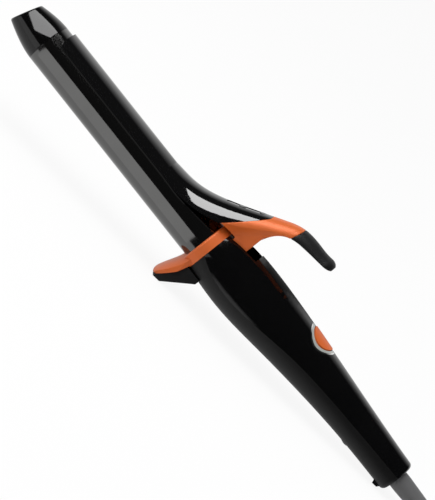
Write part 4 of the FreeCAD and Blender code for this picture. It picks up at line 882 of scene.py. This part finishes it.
def make_floor(paleness):
    """A plain pale floor, which the camera sees almost as white."""
    mesh = bpy.data.meshes.new("floor")
    outline = [(-1, -1), (1, -1), (1, 1), (-1, 1)]
    mesh.from_pydata([(x * FLOOR_HALF, y * FLOOR_HALF, FLOOR_LEVEL) for x, y in outline], [], [(0, 1, 2, 3)])
    made = bpy.data.materials.new("Pale floor")
    made.use_nodes = True
    tree = made.node_tree
    tree.nodes.clear()
    diffuse = tree.nodes.new("ShaderNodeBsdfDiffuse")
    diffuse.inputs["Color"].default_value = (paleness, paleness, paleness, 1)
    light = tree.nodes.new("ShaderNodeEmission")
    path = tree.nodes.new("ShaderNodeLightPath")
    share = tree.nodes.new("ShaderNodeMath")
    share.operation = "MULTIPLY"
    share.inputs[1].default_value = FLOOR_GLOW
    tree.links.new(path.outputs["Is Camera Ray"], share.inputs[0])
    mixed = tree.nodes.new("ShaderNodeMixShader")
    tree.links.new(share.outputs[0], mixed.inputs[0])
    tree.links.new(diffuse.outputs[0], mixed.inputs[1])
    tree.links.new(light.outputs[0], mixed.inputs[2])
    end = tree.nodes.new("ShaderNodeOutputMaterial")
    tree.links.new(mixed.outputs[0], end.inputs["Surface"])
    mesh.materials.append(made)
    floor = placed("floor", mesh)
    floor.visible_glossy = False


class CURLER_OT_stage(bpy.types.Operator):
    """Camera, floor, lamps and studio walls"""
    bl_idname = "curler.stage"
    bl_label = "Stage"

    def execute(self, context):
        scene = context.scene
        light = scene.stage_light
        scene.view_settings.view_transform = "Standard"
        right = ALONG * math.cos(CAMERA_ROLL) + SIDE_UP * math.sin(CAMERA_ROLL)
        upward = SIDE_UP * math.cos(CAMERA_ROLL) - ALONG * math.sin(CAMERA_ROLL)
        lens = bpy.data.cameras.new("camera")
        lens.lens = 200
        lens.sensor_width = 36
        camera = placed("camera", lens)
        camera.matrix_world = Matrix.Translation(TARGET + VIEW * CAMERA_DISTANCE) @ Matrix(
            (right, upward, VIEW)).transposed().to_4x4()
        scene.camera = camera
        make_floor(light.floor)
        scene.world = bpy.data.worlds.new("studio")
        surround(scene.world, light.surround)
        lamp = bpy.data.lights.new("key", "AREA")
        lamp.energy = light.key
        lamp.size = 0.9
        key = placed("key", lamp)
        key.location = KEY_PLACE
        key.rotation_mode = "QUATERNION"
        key.rotation_quaternion = (TARGET - KEY_PLACE).to_track_quat("-Z", "Y")
        key.visible_glossy = False
        panel("soft_panel", light.panel, 35, 0.47, (-60, 24), (-400, -16), (-400, 76), (-60, 68))
        panel("side_panel", light.lower, -50, 0.06, (-3, -78), (128.5, -78), (128.5, -22.3), (-3, -22.3))
        panel("lower_panel", light.lower, -53, 0.45, (-60, -68), (-460, -68), (-460, -38), (-60, -38))
        return {"FINISHED"}


class CURLER_PT_panel(bpy.types.Panel):
    bl_label = "Curling iron"
    bl_idname = "CURLER_PT_panel"
    bl_space_type = "VIEW_3D"
    bl_region_type = "UI"
    bl_category = "Curling iron"

    def draw(self, context):
        scene = context.scene
        for group in (scene.iron_colours, scene.cord_sizes, scene.stage_light):
            box = self.layout.box()
            for name in group.__annotations__:
                box.prop(group, name)
        for operator in OPERATORS:
            self.layout.operator(operator.bl_idname)


GROUPS = [("iron_colours", IronColours), ("cord_sizes", CordSizes), ("stage_light", StageLight)]
OPERATORS = [CURLER_OT_stage, CURLER_OT_cord, CURLER_OT_barrel, CURLER_OT_screws, CURLER_OT_handle,
             CURLER_OT_guard, CURLER_OT_clip, CURLER_OT_lever, CURLER_OT_hinge, CURLER_OT_button,
             CURLER_OT_heater, CURLER_OT_circuit, CURLER_OT_swivel]


def register():
    for name, group in GROUPS:
        bpy.utils.register_class(group)
        setattr(bpy.types.Scene, name, PointerProperty(type=group))
    for made in [*OPERATORS, CURLER_PT_panel]:
        bpy.utils.register_class(made)


def unregister():
    for made in [CURLER_PT_panel, *reversed(OPERATORS)]:
        bpy.utils.unregister_class(made)
    for name, group in reversed(GROUPS):
        delattr(bpy.types.Scene, name)
        bpy.utils.unregister_class(group)


def main():
    register()
    for step in (bpy.ops.curler.stage, bpy.ops.curler.cord, bpy.ops.curler.barrel, bpy.ops.curler.screws,
                 bpy.ops.curler.handle, bpy.ops.curler.guard, bpy.ops.curler.clip, bpy.ops.curler.lever,
                 bpy.ops.curler.hinge, bpy.ops.curler.button, bpy.ops.curler.heater, bpy.ops.curler.circuit,
                 bpy.ops.curler.swivel):
        step()


if __name__ == "__main__":
    main()
